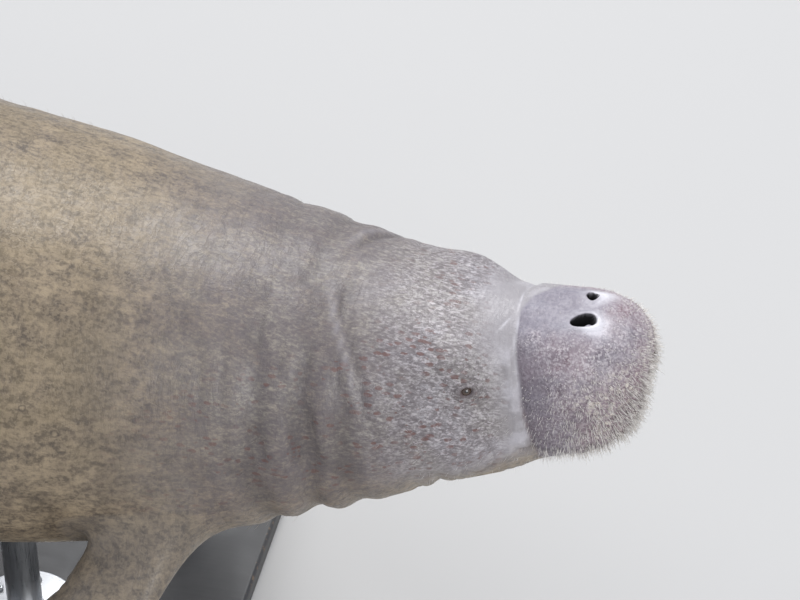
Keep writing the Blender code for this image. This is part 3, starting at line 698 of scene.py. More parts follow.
def headStops():
    # distances of the head's rings, evenly spaced over the skin but closer at the nostrils, crease and eyes
    s = np.linspace(1e-5, bodyShape["headEnd"], 6000)
    phi = np.linspace(0, 2 * math.pi, 24, endpoint=False)
    points = plainPoints(*np.meshgrid(s, phi, indexing="ij"))
    length = np.linalg.norm(np.diff(points, axis=0), axis=2).mean(axis=1)
    middle = (s[1:] + s[:-1]) / 2
    fine = sum(bump(middle - place, width) for place, width in gridShape["finePlaces"])
    coarse, close = gridShape["headSpacing"], gridShape["fineSpacing"]
    count = np.cumsum(length / (coarse + (close - coarse) * np.clip(fine, 0, 1)))
    return np.interp(np.linspace(count[4], count[-1], int(count[-1])), count, middle)


def bodyStops():
    # distances of the rings behind the head, matched to the rows of the flippers' holes
    start, end, rows = gridShape["holeRows"]
    length = bodyShape["length"]
    neck = np.linspace(bodyShape["headEnd"], start, 32)[1:-1]
    paddle = 2.34 + (length - 2.34) * np.sin(np.linspace(0, math.pi / 2, 66))[:-1]
    return np.concatenate([neck, np.linspace(start, end, rows + 1), np.linspace(end, 1.9, 66)[1:],
                           np.linspace(1.9, 2.34, 36)[1:-1], paddle])


# Fine relief in heights over the skin, in metres, with the marks that the hide's colours read

wrinkleRows = {  # size of the pattern, stretch round the body, width of a line, depth, zone along s
    "neck": (0.026, 4.0, 0.13, 0.0030, (0.37, 0.40, 0.58, 0.66)),
    "face": (0.017, 2.6, 0.13, 0.0013, (0.20, 0.23, 0.34, 0.38)),
    "trunk": (0.050, 5.0, 0.10, 0.0022, (0.55, 0.75, 1.85, 2.10)),
    "stock": (0.034, 5.0, 0.12, 0.0024, (1.80, 1.95, 2.30, 2.50)),
}


def wrinkleField(points, phi):
    # winding lines that run mostly round the body, fainter over the back
    relief = np.zeros(points.shape[:-1])
    s = points[..., 0]
    for seed, (size, stretch, width, depth, zone) in enumerate(wrinkleRows.values(), 11):
        squeezed = points * np.array([1.0, 1 / stretch, 1 / stretch])
        strength = smoothStep(zone[0], zone[1], s) * smoothStep(zone[3], zone[2], s)
        strength = strength * (0.55 + 0.45 * smoothStep(0.9, 0.0, np.sin(phi)))
        broken = 0.35 + 0.65 * smoothStep(-0.5, 0.3, latticeNoise(points, 3 * size, seed + 40))
        relief -= depth * strength * broken * creaseLines(squeezed, size, width, seed)
        relief += 0.5 * depth * strength * latticeNoise(squeezed, 0.7 * size, seed + 20)
    return relief


faceBells = {  # height, middle and width of each swelling or groove, in metres
    "lid": (0.0046, 0.0094, 0.0034),  # by the distance from the eye's middle
    "orbit": (-0.0022, 0.040, 0.012),
    "lipSlit": (-0.011, -0.0006, 0.0021),  # by the height over the line of the mouth
    "upperLip": (0.0022, 0.0075, 0.0045),
    "lowerLip": (0.0016, -0.0085, 0.0045),
    "corner": (0.0040, 0.017, 0.007),  # by the distance from the corner of the mouth
    "creaseTop": (0.0030, 0.0, 0.009),  # by the distance behind the crease
    "creaseGroove": (-0.0016, 0.0, 0.0020),
    "creaseRoll": (0.0010, 0.0085, 0.0050),
    "wrinkle": (-0.0010, 0.0, 0.0016),  # by the distance from the slanting wrinkle
    "foldRoll": (0.0022, 0.014, 0.010),  # by the distance behind the fold of the nape
    "foldGroove": (-0.0045, 0.0, 0.0065),
}
markBells = {  # strength, middle and width of each mark, by the same distances
    "lidMark": (1.0, 0.0074, 0.0034),
    "lipMark": (1.0, 0.0, 0.010),
    "slitShade": (0.9, -0.0006, 0.0017),
    "creaseHighlight": (1.0, 0.0016, 0.0017),
    "creaseShade": (1.0, -0.0012, 0.0016),
    "bandTop": (1.0, 0.022, 0.036),
    "wrinkleHighlight": (0.8, 0.0, 0.0017),
    "foldRidgeHighlight": (1.0, 0.012, 0.0035),
}
# the rim's relief, and the pale halo round it, which is a painted highlight on the wet rim
nostrilRimAndHighlight = {
    "rim": (0.0026, 1.24, 0.20),  # height, middle and width by the share of the way to the edge
    "moat": (-0.0012, 1.75, 0.16),
    "facing": math.radians(58),  # where the rim is highest, from straight ahead to the side
    "leftHalo": 0.42,  # how much closer the halo's shares lie on the left
    "haloMiddle": 1.30,
    "haloWidth": (0.26, 0.60),  # at its narrowest, and how much it gains where the rim is highest
}
wrinkleEnds = ((0.196, -0.054), (0.177, -0.025))  # a slanting wrinkle behind the crease, on the right side


def eyeDetail(points):
    # a lid round the eye with puckers and rings beyond it: the height, the marks and the socket, which is
    # painted nearly black as shade
    eye = eyeDistance(points)
    back, around, _ = across(points, eyeFrame)
    angle = np.arctan2(around, back)
    wobble = latticeNoise(points, 0.012, 3)
    pucker = np.cos(7 * angle + 2.5 * wobble) * swell(eye, (0.0008, 0.0135, 0.0050))
    waves = (eye - 0.0145) / 0.0100 * math.pi + 0.9 * wobble + 0.4 * np.sin(2 * angle)
    ripples = -0.0019 * bump(np.abs(np.sin(waves)), 0.36)
    ripples = ripples * smoothStep(0.0115, 0.0145, eye) * smoothStep(0.048, 0.022, eye)
    inside = smoothStep(eyeShape["margin"] + 0.0002, eyeShape["margin"] - 0.0016, eye)
    lids = swell(eye, faceBells["lid"]) + pucker + ripples + swell(eye, faceBells["orbit"])
    reach = eyeShape["markReach"]
    marks = {"lidMark": swell(eye, markBells["lidMark"]), "eyeBack": np.clip(back, -reach, reach),
             "eyeRound": np.clip(around, -reach, reach)}
    return lids * (1 - inside) - eyeShape["socket"] * inside, marks, inside


def nostrilDetail(points):
    # a rim that is highest in front and outside, a shallow moat round it, its pale halo of painted highlight,
    # strongest in front and outside, and the smooth top
    s, y, z = points[..., 0], points[..., 1], points[..., 2]
    shape = nostrilRimAndHighlight
    share = nostrilShare(points)
    back, around, _ = across(points, nostrilFrame)
    frontOuter = 0.5 + 0.5 * np.cos(np.arctan2(-around, -back) - shape["facing"])
    rim = swell(share, shape["rim"]) * (0.45 + 0.55 * frontOuter)
    height = np.where(share > 1, rim, rim * smoothStep(0.8, 1.0, share))
    height = height + swell(share, shape["moat"]) * frontOuter
    haloHighlight = np.where(y > 0, 1 + shape["leftHalo"] * (share - 1), share)
    haloHighlight = haloHighlight + 0.10 * latticeNoise(points, 0.007, 15)
    narrowest, gain = shape["haloWidth"]
    haloHighlight = bump(haloHighlight - shape["haloMiddle"], narrowest + gain * frontOuter**3)
    ragged = 0.006 * latticeNoise(points, 0.012, 14)
    smooth = smoothStep(0.066, 0.034, np.abs(y) + ragged) * smoothStep(0.036, 0.066, s + ragged)
    # painted highlight: the pale halo, strongest where the rim faces front and outward
    marks = {"nostrilRimAndHighlight": haloHighlight * (0.05 + 0.95 * frontOuter**2) * (share > 0.94),
             "topPale": bump(share - 1.0, 1.5) * smoothStep(-0.02, 0.03, z),
             "smoothTop": smooth * smoothStep(0.0, 0.03, z)}
    return height, marks


def lipDetail(points):
    # the slit of the mouth between soft lips and a swelling round its corner, with the mark and the slit's
    # painted shade
    s, z = points[..., 0], points[..., 2]
    lip, reach = z - mouthHeight(s), mouthReach(points)
    height = sum(swell(lip, faceBells[name]) for name in ("lipSlit", "upperLip", "lowerLip")) * reach
    cornerS, cornerZ = faceShape["mouthCorner"]
    fromCorner = np.hypot(s - (cornerS + 0.004), z - (cornerZ + 0.002))
    height = height + swell(fromCorner, faceBells["corner"]) * smoothStep(0.170, 0.182, s)
    return height, swell(lip, markBells["lipMark"]) * reach, swell(lip, markBells["slitShade"]) * reach


def creaseDetail(points):
    # a groove behind the muzzle, with a soft step over its top and a low roll at its sides, and its marks: a
    # pale line of painted highlight behind the groove, painted shade in front of it, the band on top and
    # painted shade low on the muzzle's rear
    z = points[..., 2]
    crease = creaseDistance(points) + 0.0025 * latticeNoise(points, 0.035, 8)
    strength, side = smoothStep(-0.15, -0.10, z), smoothStep(0.075, 0.02, z)
    height = swell(crease, faceBells["creaseTop"]) * (1 - side)
    height = height + swell(crease, faceBells["creaseGroove"]) * (0.4 + 0.6 * side)
    height = (height + swell(crease, faceBells["creaseRoll"]) * side) * strength
    muzzle = smoothStep(0.012, -0.010, crease)
    height += muzzle * (0.0008 * latticeNoise(points, 0.011, 5) + 0.0014 * latticeNoise(points, 0.028, 6))
    broken = 0.35 + 0.65 * smoothStep(-0.2, 0.3, latticeNoise(points, 0.03, 9))
    # painted highlight: a pale line along the groove's rear edge
    marks = {"creaseHighlight": swell(crease, markBells["creaseHighlight"]) * smoothStep(-0.06, 0.02, z) * broken,
             "creaseShade": swell(crease, markBells["creaseShade"]) * smoothStep(0.02, -0.03, z) * strength,
             "bandTop": swell(crease, markBells["bandTop"]) * smoothStep(0.035, 0.070, z),
             # painted shade on the lower muzzle just ahead of the crease
             "lowerRearShade": smoothStep(-0.085, -0.010, crease) * smoothStep(0.058, 0.030, z)}
    return height, marks


def wrinkleDistance(points):
    # distance from the slanting wrinkle on the upper side, which thins out toward both ends
    start, end = np.array(wrinkleEnds)
    way = end - start
    flat = points[..., :2] - start
    along = np.clip((flat @ way) / (way @ way), 0, 1)
    beside = np.linalg.norm(flat - along[..., None] * way, axis=-1)
    return np.where(points[..., 2] > 0, beside + 0.002 * (1 - np.sin(along * math.pi)), 1.0)


def faceDetail(points):
    # the heights of eyes, nostrils, lips, crease, wrinkle, chin and ears added up, and the marks they leave
    height, marks, socket = eyeDetail(points)
    for detail in (nostrilDetail, creaseDetail):
        more, moreMarks = detail(points)
        height = height + more
        marks.update(moreMarks)
    lips, marks["lipMark"], slit = lipDetail(points)
    beside = wrinkleDistance(points)
    # painted highlight along the slanting wrinkle, too
    marks["creaseHighlight"] = np.maximum(marks["creaseHighlight"], swell(beside, markBells["wrinkleHighlight"]))
    chinFolds = creaseLines(points * np.array([1.0, 0.3, 1.0]), 0.016, 0.16, 7)
    height = height + lips + swell(beside, faceBells["wrinkle"])
    height -= 0.0016 * chinFolds * smoothStep(-0.13, -0.17, points[..., 2])
    ear, radius = earDistance(points), earShape["radius"]
    height -= earShape["depth"] * smoothStep(radius * 1.3, 0.0, ear)
    earHollow = smoothStep(radius * 1.2, radius * 0.5, ear)
    # painted shade: the socket, the slit of the mouth and the ears' openings are painted nearly black
    marks["paintedHollowShade"] = np.maximum(np.maximum(socket, slit), earHollow)
    return height, marks


def nostrilPit(points):
    # how deep the pit is: the root of 1 minus the squared share of the way to the rim, less the valve's flap,
    # which shows on the right only; and where the inside is painted nearly black as shade, all but the flap
    share = nostrilShare(points)
    back, around, _ = across(points, nostrilFrame)
    place = nostrilShape["flapPlace"]
    fromFlap = np.hypot(back - place[0], around - place[1]) / nostrilShape["flapRadius"]
    flap = smoothStep(1.6, 0.5, fromFlap) * (points[..., 1] < 0)
    deep = np.sqrt(np.clip(1 - share**2, 0.0, 1.0))
    depth = nostrilShape["depth"] * deep * (1 - 0.86 * flap)
    return depth, smoothStep(1.07, 0.985, share) * smoothStep(0.75, 0.25, flap)


def paddleDetail(points, phi):
    # faint ridges fanning out from the stock, and a slightly uneven rim
    s, y = points[..., 0], points[..., 1]
    fan = np.arctan2(y, s - 2.0)
    zone = smoothStep(2.30, 2.62, s)
    ridges = 0.0011 * np.sin(38 * fan + 3.0 * latticeNoise(points, 0.20, 31)) * zone
    ridges = ridges + 0.0016 * latticeNoise(points, 0.07, 32) * zone
    flat = np.stack([np.cos(fan), np.sin(fan), np.zeros_like(fan)], axis=-1)
    fanPlace = np.stack([fan, np.zeros_like(fan), np.zeros_like(fan)], axis=-1)
    rim = np.abs(np.cos(phi)) ** 6 * smoothStep(2.45, 2.70, s) + smoothStep(2.955, 2.995, s)
    uneven = 0.0045 * latticeNoise(fanPlace, 0.11, 33) + 0.0035 * latticeNoise(fanPlace, 0.05, 34)
    return ridges, flat * (uneven * np.clip(rim, 0, 1))[..., None]


def napeFold(points):
    # a slanting fold on each side of the nape, from high and far back to low and forward
    left = mirrored(points)
    s, y, z = left[..., 0], left[..., 1], left[..., 2]
    upper = 0.5 * (z - 0.06 + np.sqrt((z - 0.06) ** 2 + 0.02**2))
    distance = s - 0.362 - 0.36 * upper - 0.10 * z - 0.003 * np.sin(z * 55)
    return distance, smoothStep(-0.02, 0.04, z) * smoothStep(0.03, 0.07, y)


zoneRows = {  # each zone is the product of its steps: what is measured, where it is 0 and where it is 1
    "creamZone": (("height", 0.03, -0.04), ("back", 0.13, 0.04)),
    "paleZone": (("s", 0.42, 0.26), ("height", -0.16, -0.08)),
    "blotchZone": (("lowered", 0.200, 0.255), ("s", 0.80, 0.46), ("upward", -0.9, 0.1)),
    "algaeZone": (("s", 0.40, 0.90), ("upward", -0.35, 0.45)),
    "finZone": (("s", 2.2, 2.5),),
}


def zonesOf(s, phi, base):
    # the broad zones of colour over the skin, each from 0 to 1
    height = base[..., 2]
    lowered = s + 0.030 * smoothStep(0.085, 0.025, height)
    measures = {"s": s, "back": base[..., 0], "height": height, "upward": np.sin(phi), "lowered": lowered}
    zones = {name: math.prod(smoothStep(first, last, measures[what]) for what, first, last in steps)
             for name, steps in zoneRows.items()}
    zones["spotZone"] = zones["blotchZone"] * (0.15 + 0.85 * smoothStep(0.115, 0.078, height))
    zones["muzzleZone"] = muzzleZone(base)
    return zones


def detailed(s, phi):
    # the straight skin with every relief, and its marks
    base = shapedPoints(s, phi)
    back, z = base[..., 0], base[..., 2]
    outward = outwardOf(base)
    height, marks = faceDetail(base)
    head = smoothStep(0.44, 0.40, back)
    wrinkles = wrinkleField(base, phi)
    trunk = smoothStep(0.45, 0.80, back)
    height = height * head + wrinkles
    height += trunk * (0.0032 * latticeNoise(base, 0.26, 21) + 0.0012 * latticeNoise(base, 0.11, 22))
    ridges, shift = paddleDetail(base, phi)
    fold, foldHere = napeFold(base)
    height += ridges + foldHere * (swell(fold, faceBells["foldRoll"]) + swell(fold, faceBells["foldGroove"]))
    depth, pitShade = nostrilPit(base)
    inward = unit(nostrilFrame["back"] * 0.35 - nostrilFrame["outward"] * 0.9)
    inward = np.stack([np.full_like(s, inward[0]), inward[1] * np.sign(base[..., 1]),
                       np.full_like(s, inward[2])], axis=-1)
    points = base + outward * height[..., None] + shift + inward * (depth * head)[..., None]
    marks.update(zonesOf(s, phi, base))
    # painted shade: the nostrils' pits are painted nearly black too
    marks["paintedHollowShade"] = np.maximum(marks["paintedHollowShade"], pitShade) * head
    # painted shade: how far each point lies in a fold, for darkening the colour there
    folds = np.zeros_like(s)
    for distance, width, _ in foldDistances(s, z, phi):
        folds = np.maximum(folds, bump(distance, 0.8 * width))
    folds = np.maximum(folds * foldStrength(phi), bump(fold, 0.005) * foldHere)
    marks["foldMark"] = np.clip(folds - wrinkles / 0.003, 0, 1)
    # painted highlight on the upper side of the roll behind the nape fold
    marks["foldRidgeHighlight"] = swell(fold, markBells["foldRidgeHighlight"]) * foldHere * smoothStep(0.045, 0.075, z)
    return points, marks


def muzzleZone(points):
    # 1 on the darker muzzle, whose bound leaves the crease over the top and curves forward on the left
    y, z = points[..., 1], points[..., 2]
    forward = 0.045 * smoothStep(-0.035, 0.075, y) * smoothStep(-0.06, 0.02, z)
    wander = 0.003 * latticeNoise(points, 0.02, 12)
    return smoothStep(0.003, -0.004, creaseDistance(points) + forward + wander * (forward > 0.004))


# Flippers

flipperShape = {
    "s": 0.70,
    "column": math.radians(-33),
    "length": 0.44,
    "rootSink": 0.035,
    "rootDirection": (-0.20, 0.80, -0.56),
    "tipDirection": (-0.84, 0.30, -0.46),
    "stations": ((0.00, 0.172, 0.094), (0.15, 0.146, 0.074), (0.35, 0.138, 0.058), (0.55, 0.152, 0.046),
                 (0.75, 0.158, 0.034), (1.00, 0.150, 0.022)),
    "tipCap": 0.74,
    "sweep": 0.06,
    "shoulderEnd": 0.20,
    "shoulderRings": 8,
    "bladeRings": 62,
}
nailShape = {
    "count": 3,
    "radii": (0.0105, 0.0072, 0.0042),
    "first": 0.925,
    "spacing": 0.06,
    "lineHeight": 0.025,  # of the growth lines, as a share of the nail's height
    "lineTurns": 16,  # angle of their sine over half the nail's length
}


class Flipper:
    # a blade along a cubic curve: rings are flattened ovals whose chord and thickness follow the stations

    def __init__(self, side):
        # four control points from the root's direction to the tip's
        shape = flipperShape
        mirror = np.array([1, side, 1])
        first = unit(np.array(shape["rootDirection"])) * mirror
        last = unit(np.array(shape["tipDirection"])) * mirror
        onSkin = posed(localFrame(shape["s"], shape["column"])[0] * mirror)
        start = onSkin - first * shape["rootSink"]
        reach = shape["length"] + shape["rootSink"]
        end = start + unit(first * 0.42 + last * 0.60) * reach * 0.97
        self.controls = (start, start + first * reach * 0.36, end - last * reach * 0.36, end)
        self.side = side
        self.upward = unit(np.cross(first, last)) * side

    def centre(self, t):
        # the cubic curve through the blade, 0 at the root and 1 at the tip
        t = np.asarray(t, float)[..., None]
        a, b, c, d = self.controls
        return (1 - t) ** 3 * a + 3 * (1 - t) ** 2 * t * b + 3 * (1 - t) * t**2 * c + t**3 * d

    def directions(self, t):
        # along the blade, and across it toward its leading edge
        ahead = (self.centre(np.asarray(t) + 1e-3) - self.centre(np.asarray(t) - 1e-3)) / 2e-3
        return ahead, unit(np.cross(self.upward, unit(ahead))) * -self.side

    def rings(self, t, angles):
        # points at every t and angle, angle 0 on the leading edge
        t, angles = np.asarray(t, float), np.asarray(angles, float)
        rows = np.array(flipperShape["stations"])
        cap = flipperShape["tipCap"]
        share = np.clip((t - cap) / (1 - cap), 0.0, 1.0)
        chord = np.interp(t, rows[:, 0], rows[:, 1]) * (1 - share**2.4) ** 0.5
        thickness = np.interp(t, rows[:, 0], rows[:, 2]) * (1 - share**6) ** 0.5
        leading = self.directions(t)[1]
        over = np.sign(np.sin(angles)) * np.abs(np.sin(angles)) ** 0.9
        sweep = flipperShape["sweep"] * chord * np.sin(math.pi * t)
        forward = chord[:, None] / 2 * np.cos(angles) + sweep[:, None]
        lift = thickness[:, None] / 2 * over
        ahead = leading[:, None] * forward[..., None]
        return self.centre(t)[:, None] + ahead + self.upward * lift[..., None]


flippers = {1: Flipper(1), -1: Flipper(-1)}


def nailPlaces(flipper):
    # middle of each nail, with its lengthwise, crosswise and outward directions
    for i in range(nailShape["count"]):
        t = nailShape["first"] - nailShape["spacing"] * i
        point = flipper.rings([t], [math.radians(66 - 12 * i)])[0, 0]
        ahead, leading = flipper.directions(t)
        outward = unit(flipper.upward + leading * 0.25)
        toEdge = unit(ahead) * (0.9 - 0.25 * i) + leading * (0.45 + 0.25 * i)
        toEdge = unit(toEdge - outward * (toEdge @ outward))
        yield point, toEdge, np.cross(outward, toEdge), outward


# The skin, one closed surface over head, body, tail and flippers

def flipperBranch(side, bodyRows, bodyGrid, bodyNormals):
    # a shoulder from the hole in the body's grid by cubic curves, then the blade out to its tip
    start, _, rows = gridShape["holeRows"]
    low, high = gridShape["holeColumns"]
    columns = gridShape["bodyColumns"]
    firstColumn = low if side > 0 else columns // 2 - high
    wide = high - low
    firstRow = int(np.argmin(np.abs(bodyRows - start)))
    lastRow = firstRow + rows
    r = [firstRow] * (wide + 1) + list(range(firstRow + 1, lastRow + 1))
    c = list(range(wide + 1)) + [wide] * rows
    r += [lastRow] * wide + list(range(lastRow - 1, firstRow, -1))
    c += list(range(wide - 1, -1, -1)) + [0] * (rows - 1)
    r, c = np.array(r), np.array(c)
    angles = side * np.arctan2((c - wide / 2) / wide, (firstRow + rows / 2 - r) / rows)
    c = (c + firstColumn) % columns
    flipper, shape = flippers[side], flipperShape
    goals = flipper.rings([shape["shoulderEnd"]], angles)[0]
    ahead = unit(flipper.directions(shape["shoulderEnd"])[0])
    starts, normals = bodyGrid[r, c], bodyNormals[r, c]
    span = goals - starts
    alongSkin = (span - normals * (span * normals).sum(axis=1, keepdims=True)) * 1.1
    t = np.linspace(0, 1, shape["shoulderRings"] + 1)[1:, None, None]
    leaving = (2 * t**3 - 3 * t**2 + 1) * starts + (t**3 - 2 * t**2 + t) * alongSkin
    shoulder = leaving + (3 * t**2 - 2 * t**3) * goals + (t**3 - t**2) * ahead * 0.16
    turn = np.linspace(0, math.pi / 2, shape["bladeRings"] + 1)
    stops = shape["shoulderEnd"] + (1 - shape["shoulderEnd"]) * np.sin(turn)[1:-1]
    rings = np.concatenate([shoulder, flipper.rings(stops, angles)])
    hole = {(firstRow + i, (firstColumn + k) % columns) for i in range(rows) for k in range(wide)}
    shares = np.concatenate([np.linspace(0, 0.2, shape["shoulderRings"] + 1)[1:], stops])
    return (r, c), rings, flipper.centre(1.0), hole, shares, angles


def bladeRelief(rings, shares, angles):
    # wrinkles across the arm, faint finger ridges and uneven edges, as heights along the outward directions
    outward = gridNormals(rings)
    inside = rings - rings.mean(axis=1, keepdims=True)
    outward = outward * np.sign((outward * inside).sum(axis=(1, 2), keepdims=True))
    t = np.repeat(shares[:, None], rings.shape[1], axis=1)
    a = np.repeat(angles[None, :], rings.shape[0], axis=0)
    place = np.stack([t * 0.45, np.cos(a) * 0.03, np.sin(a) * 0.02], axis=-1)
    arm = smoothStep(0.10, 0.22, t) * smoothStep(0.80, 0.45, t)
    height = -0.0022 * creaseLines(place, 0.022, 0.14, 61) * arm
    height += 0.0010 * latticeNoise(place, 0.016, 62) * smoothStep(0.08, 0.2, t)
    fingers = np.cos(np.cos(a) * 2.5 * math.pi) * smoothStep(0.35, 0.6, t) * smoothStep(1.0, 0.86, t)
    height += 0.0011 * fingers * np.sin(a) ** 2
    height += 0.0016 * latticeNoise(rings, 0.05, 63) * smoothStep(0.15, 0.3, t)
    return rings + outward * height[..., None]


def eased(points, edgePairs, share, turns):
    # moves each point part of the way to the middle of its neighbours, again and again
    for _ in range(turns):
        total = np.zeros_like(points)
        count = np.zeros(len(points))
        for a, b in (edgePairs.T, edgePairs.T[::-1]):
            for axis in range(3):
                total[:, axis] += np.bincount(a, points[b, axis], len(points))
            count += np.bincount(a, minlength=len(points))
        middle = total / np.maximum(count, 1)[:, None]
        points = points + (middle - points) * share[:, None]
    return points


def skinGrids():
    # the straight grids of head and body with their marks, and the body's outward directions once it is bent
    headRows, bodyRows = headStops(), bodyStops()
    fine, coarse = gridShape["headColumns"], gridShape["bodyColumns"]
    s, phi = np.meshgrid(np.append(headRows, bodyRows[:1]), circle(fine), indexing="ij")
    headStraight, headMarks = detailed(*drawnTogether(s, phi))
    headMarks = {name: values[:-1] for name, values in headMarks.items()}
    s, phi = np.meshgrid(np.append(headRows[-1:], bodyRows), circle(coarse), indexing="ij")
    bodyStraight, bodyMarks = detailed(s, phi)
    outward = outwardOf(bodyStraight)
    bodyNormals = unit(posed(bodyStraight + outward * 1e-3) - posed(bodyStraight))[1:]
    bodyMarks = {name: values[1:] for name, values in bodyMarks.items()}
    head = (headRows, headStraight[:-1], headMarks)
    return head, (bodyRows, bodyStraight[1:], bodyMarks, bodyNormals)


def stitchedRings(headRings, headCount):
    # triangles between the head's last ring and the body's first one, which has half as many points
    fine, coarse = gridShape["headColumns"], gridShape["bodyColumns"]
    last = (headRings - 1) * fine
    c = np.arange(coarse)
    f0, f1, f2 = last + 2 * c, last + 2 * c + 1, last + (2 * c + 2) % fine
    c0, c1 = headCount + c, headCount + (c + 1) % coarse
    return [np.stack(corners, axis=-1) for corners in ((f0, c0, f1), (f1, c0, c1), (f1, c1, f2))]


def snoutTip(firstRow):
    # the point that closes the snout, a little ahead of the middle of the first ring
    phi = np.linspace(0, 2 * math.pi, 24, endpoint=False)
    ring = shapedPoints(*np.meshgrid([firstRow, firstRow + 0.001], phi, indexing="ij"))[0]
    return ring.mean(axis=0) - np.array([firstRow * 0.3, 0.0, 0.0])


def armpitShares(points, total, body, branches):
    # how strongly each point is eased: 1 round the root of each flipper, 0 away from it
    armpit = np.zeros(total)
    for first, shape, shares, _, side in branches:
        weight = np.repeat(smoothStep(0.24, 0.12, shares)[:, None], shape[1], axis=1)
        armpit[first:first + weight.size] = weight.ravel()
        root = localFrame(flipperShape["s"] + 0.03, flipperShape["column"])[0]
        near = np.linalg.norm(points[body] - posed(root * np.array([1, side, 1])), axis=1)
        armpit[body] = np.maximum(armpit[body], smoothStep(0.22, 0.15, near))
    return armpit


def skinMarks(headMarks, bodyMarks, total, body, branches):
    # the marks of head and body in the order of the points, and the flippers' own
    marks = {}
    for name in headMarks:
        marks[name] = np.zeros(total)
        marks[name][:body.start] = headMarks[name].ravel()
        marks[name][body] = bodyMarks[name].ravel()
    for first, shape, _, angles, side in branches:
        blade = slice(first, first + shape[0] * shape[1] + 1)
        marks["finZone"][blade] = 0.8
        upward = 0.5 + 0.5 * np.sin(angles * side)
        marks["algaeZone"][blade] = 0.35 * np.append(np.tile(upward, shape[0]), 0.5)
    return marks


def buildSkin():
    # head, body and both flippers, joined point to point
    (headRows, headStraight, headMarks), (bodyRows, bodyStraight, bodyMarks, bodyNormals) = skinGrids()
    headGrid, bodyGrid = posed(headStraight), posed(bodyStraight)
    fine, coarse = gridShape["headColumns"], gridShape["bodyColumns"]
    headCount, bodyCount = headGrid.shape[0] * fine, bodyGrid.shape[0] * coarse
    body = slice(headCount, headCount + bodyCount)
    points = [headGrid.reshape(-1, 3), bodyGrid.reshape(-1, 3)]
    quads = [ringFaces(headGrid.shape[0], fine)]
    triangles = stitchedRings(headGrid.shape[0], headCount)

    total = headCount + bodyCount
    keep = np.ones((bodyGrid.shape[0] - 1, coarse), bool)
    branches = []
    for side in (1, -1):
        (r, c), rings, tip, hole, shares, angles = flipperBranch(side, bodyRows, bodyGrid, bodyNormals)
        keep[tuple(np.array(sorted(hole)).T)] = False
        rings = bladeRelief(rings, shares, angles)
        loop = headCount + r * coarse + c
        size = rings.shape[0] * len(loop)
        ids = np.concatenate([loop[None], total + np.arange(size).reshape(-1, len(loop))])
        after = np.roll(ids, -1, axis=1)
        quads.append(np.stack([ids[:-1], ids[1:], after[1:], after[:-1]], axis=-1).reshape(-1, 4))
        triangles.append(tipFaces(ids[-1], total + size))
        points += [rings.reshape(-1, 3), tip[None]]
        branches.append((total, rings.shape, shares, angles, side))
        total += size + 1
    quads.append((ringFaces(bodyGrid.shape[0], coarse) + headCount)[keep.ravel()])
    snout = posed(snoutTip(headRows[0]))
    tailEnd = posed([bodyShape["length"], 0.0, 0.0])
    points.append(np.stack([snout, tailEnd]))
    triangles.append(tipFaces(np.arange(fine), total, True))
    triangles.append(tipFaces(body.stop - coarse + np.arange(coarse), total + 1))
    total += 2
    points, quads, triangles = np.concatenate(points), np.concatenate(quads), np.concatenate(triangles)

    edgePairs = np.concatenate([quads[:, [corner, (corner + 1) % 4]] for corner in range(4)])
    points = eased(points, edgePairs, 0.5 * armpitShares(points, total, body, branches), 22)
    skin = meshPiece("manatee_skin", points, quads, triangles)
    giveValues(skin, skinMarks(headMarks, bodyMarks, total, body, branches))
    print("skin:", len(quads) * 2 + len(triangles), "triangles,", len(headRows), "head rings")
    return skin, headGrid, headStraight, headMarks, bodyGrid


# Shader groups that several finishes share

def buildPatchGroup():
    # a soft-edged patch mask: noise lifted between two levels
    inputs = (("Vector", "Vector", None), ("Scale", "Float", 20.0), ("Level", "Float", 0.5),
              ("Softness", "Float", 0.08), ("Detail", "Float", 4.0))
    group, source, target = newGroup("patches", inputs, (("Mask", "Float"), ("Cloud", "Float")))
    cloud = noiseOf(group, source["Vector"], source["Scale"], source["Detail"], 0.6, 0.3)
    low = minus(group, source["Level"], source["Softness"])
    high = plus(group, source["Level"], source["Softness"])
    group.links.new(rangeOf(group, cloud, low, high), target["Mask"])
    group.links.new(cloud, target["Cloud"])
    return group


grainShape = {
    "warpScale": 28.0,
    "warpReach": (0.012, 0.007),
    "pebbleEdge": 0.95,
    "pebbleMiddle": 0.05,
    "pebbleWeight": 0.30,
    "creases": (  # stretch of the pattern, how much finer it is, width of a line, weight
        ((1.0, 0.25, 0.25), 1.0, 0.050, 0.45),
        ((0.40, 1.0, 1.0), 1.5, 0.038, 0.25),
    ),
}


def buildGrainGroup():
    # soft pebbles under two sets of fine creases, most of them round the body and some along it
    shape = grainShape
    inputs = (("Vector", "Vector", None), ("Pebbles", "Float", 150.0), ("Creases", "Float", 40.0))
    group, source, target = newGroup("hideGrain", inputs, (("Height", "Float"), ("Cracks", "Float")))
    warp = noiseOf(group, source["Vector"], shape["warpScale"], 2.0)
    offsets = {axis: times(group, warp, reach) for axis, reach in enumerate(shape["warpReach"])}
    shift = addNode(group, "ShaderNodeCombineXYZ", offsets).outputs[0]
    warped = moved(group, source["Vector"], shift)
    distance, _ = cellsOf(group, warped, source["Pebbles"])
    pebble = rangeOf(group, distance, shape["pebbleEdge"], shape["pebbleMiddle"])
    height = times(group, pebble, shape["pebbleWeight"])
    cracks = 0.0
    for stretch, finer, width, weight in shape["creases"]:
        scale = times(group, source["Creases"], finer)
        lines = noiseOf(group, stretched(group, warped, stretch), scale, 4.0, 0.6, 0.3)
        crease = rangeOf(group, awayFrom(group, lines, 0.5), 0.0, width)
        height = plus(group, height, times(group, crease, weight))
        cracks = mathOf(group, "MAXIMUM", cracks, minus(group, 1.0, crease))
    group.links.new(height, target["Height"])
    group.links.new(cracks, target["Cracks"])
    return group


patches = buildPatchGroup()
hideGrain = buildGrainGroup()


def patchOf(tree, vector, scale, level=0.5, softness=0.2):
    return placeGroup(tree, patches, dict(Vector=vector, Scale=scale, Level=level, Softness=softness))


# The hide: layers of patches, spots and marks over the trunk, the face and the muzzle

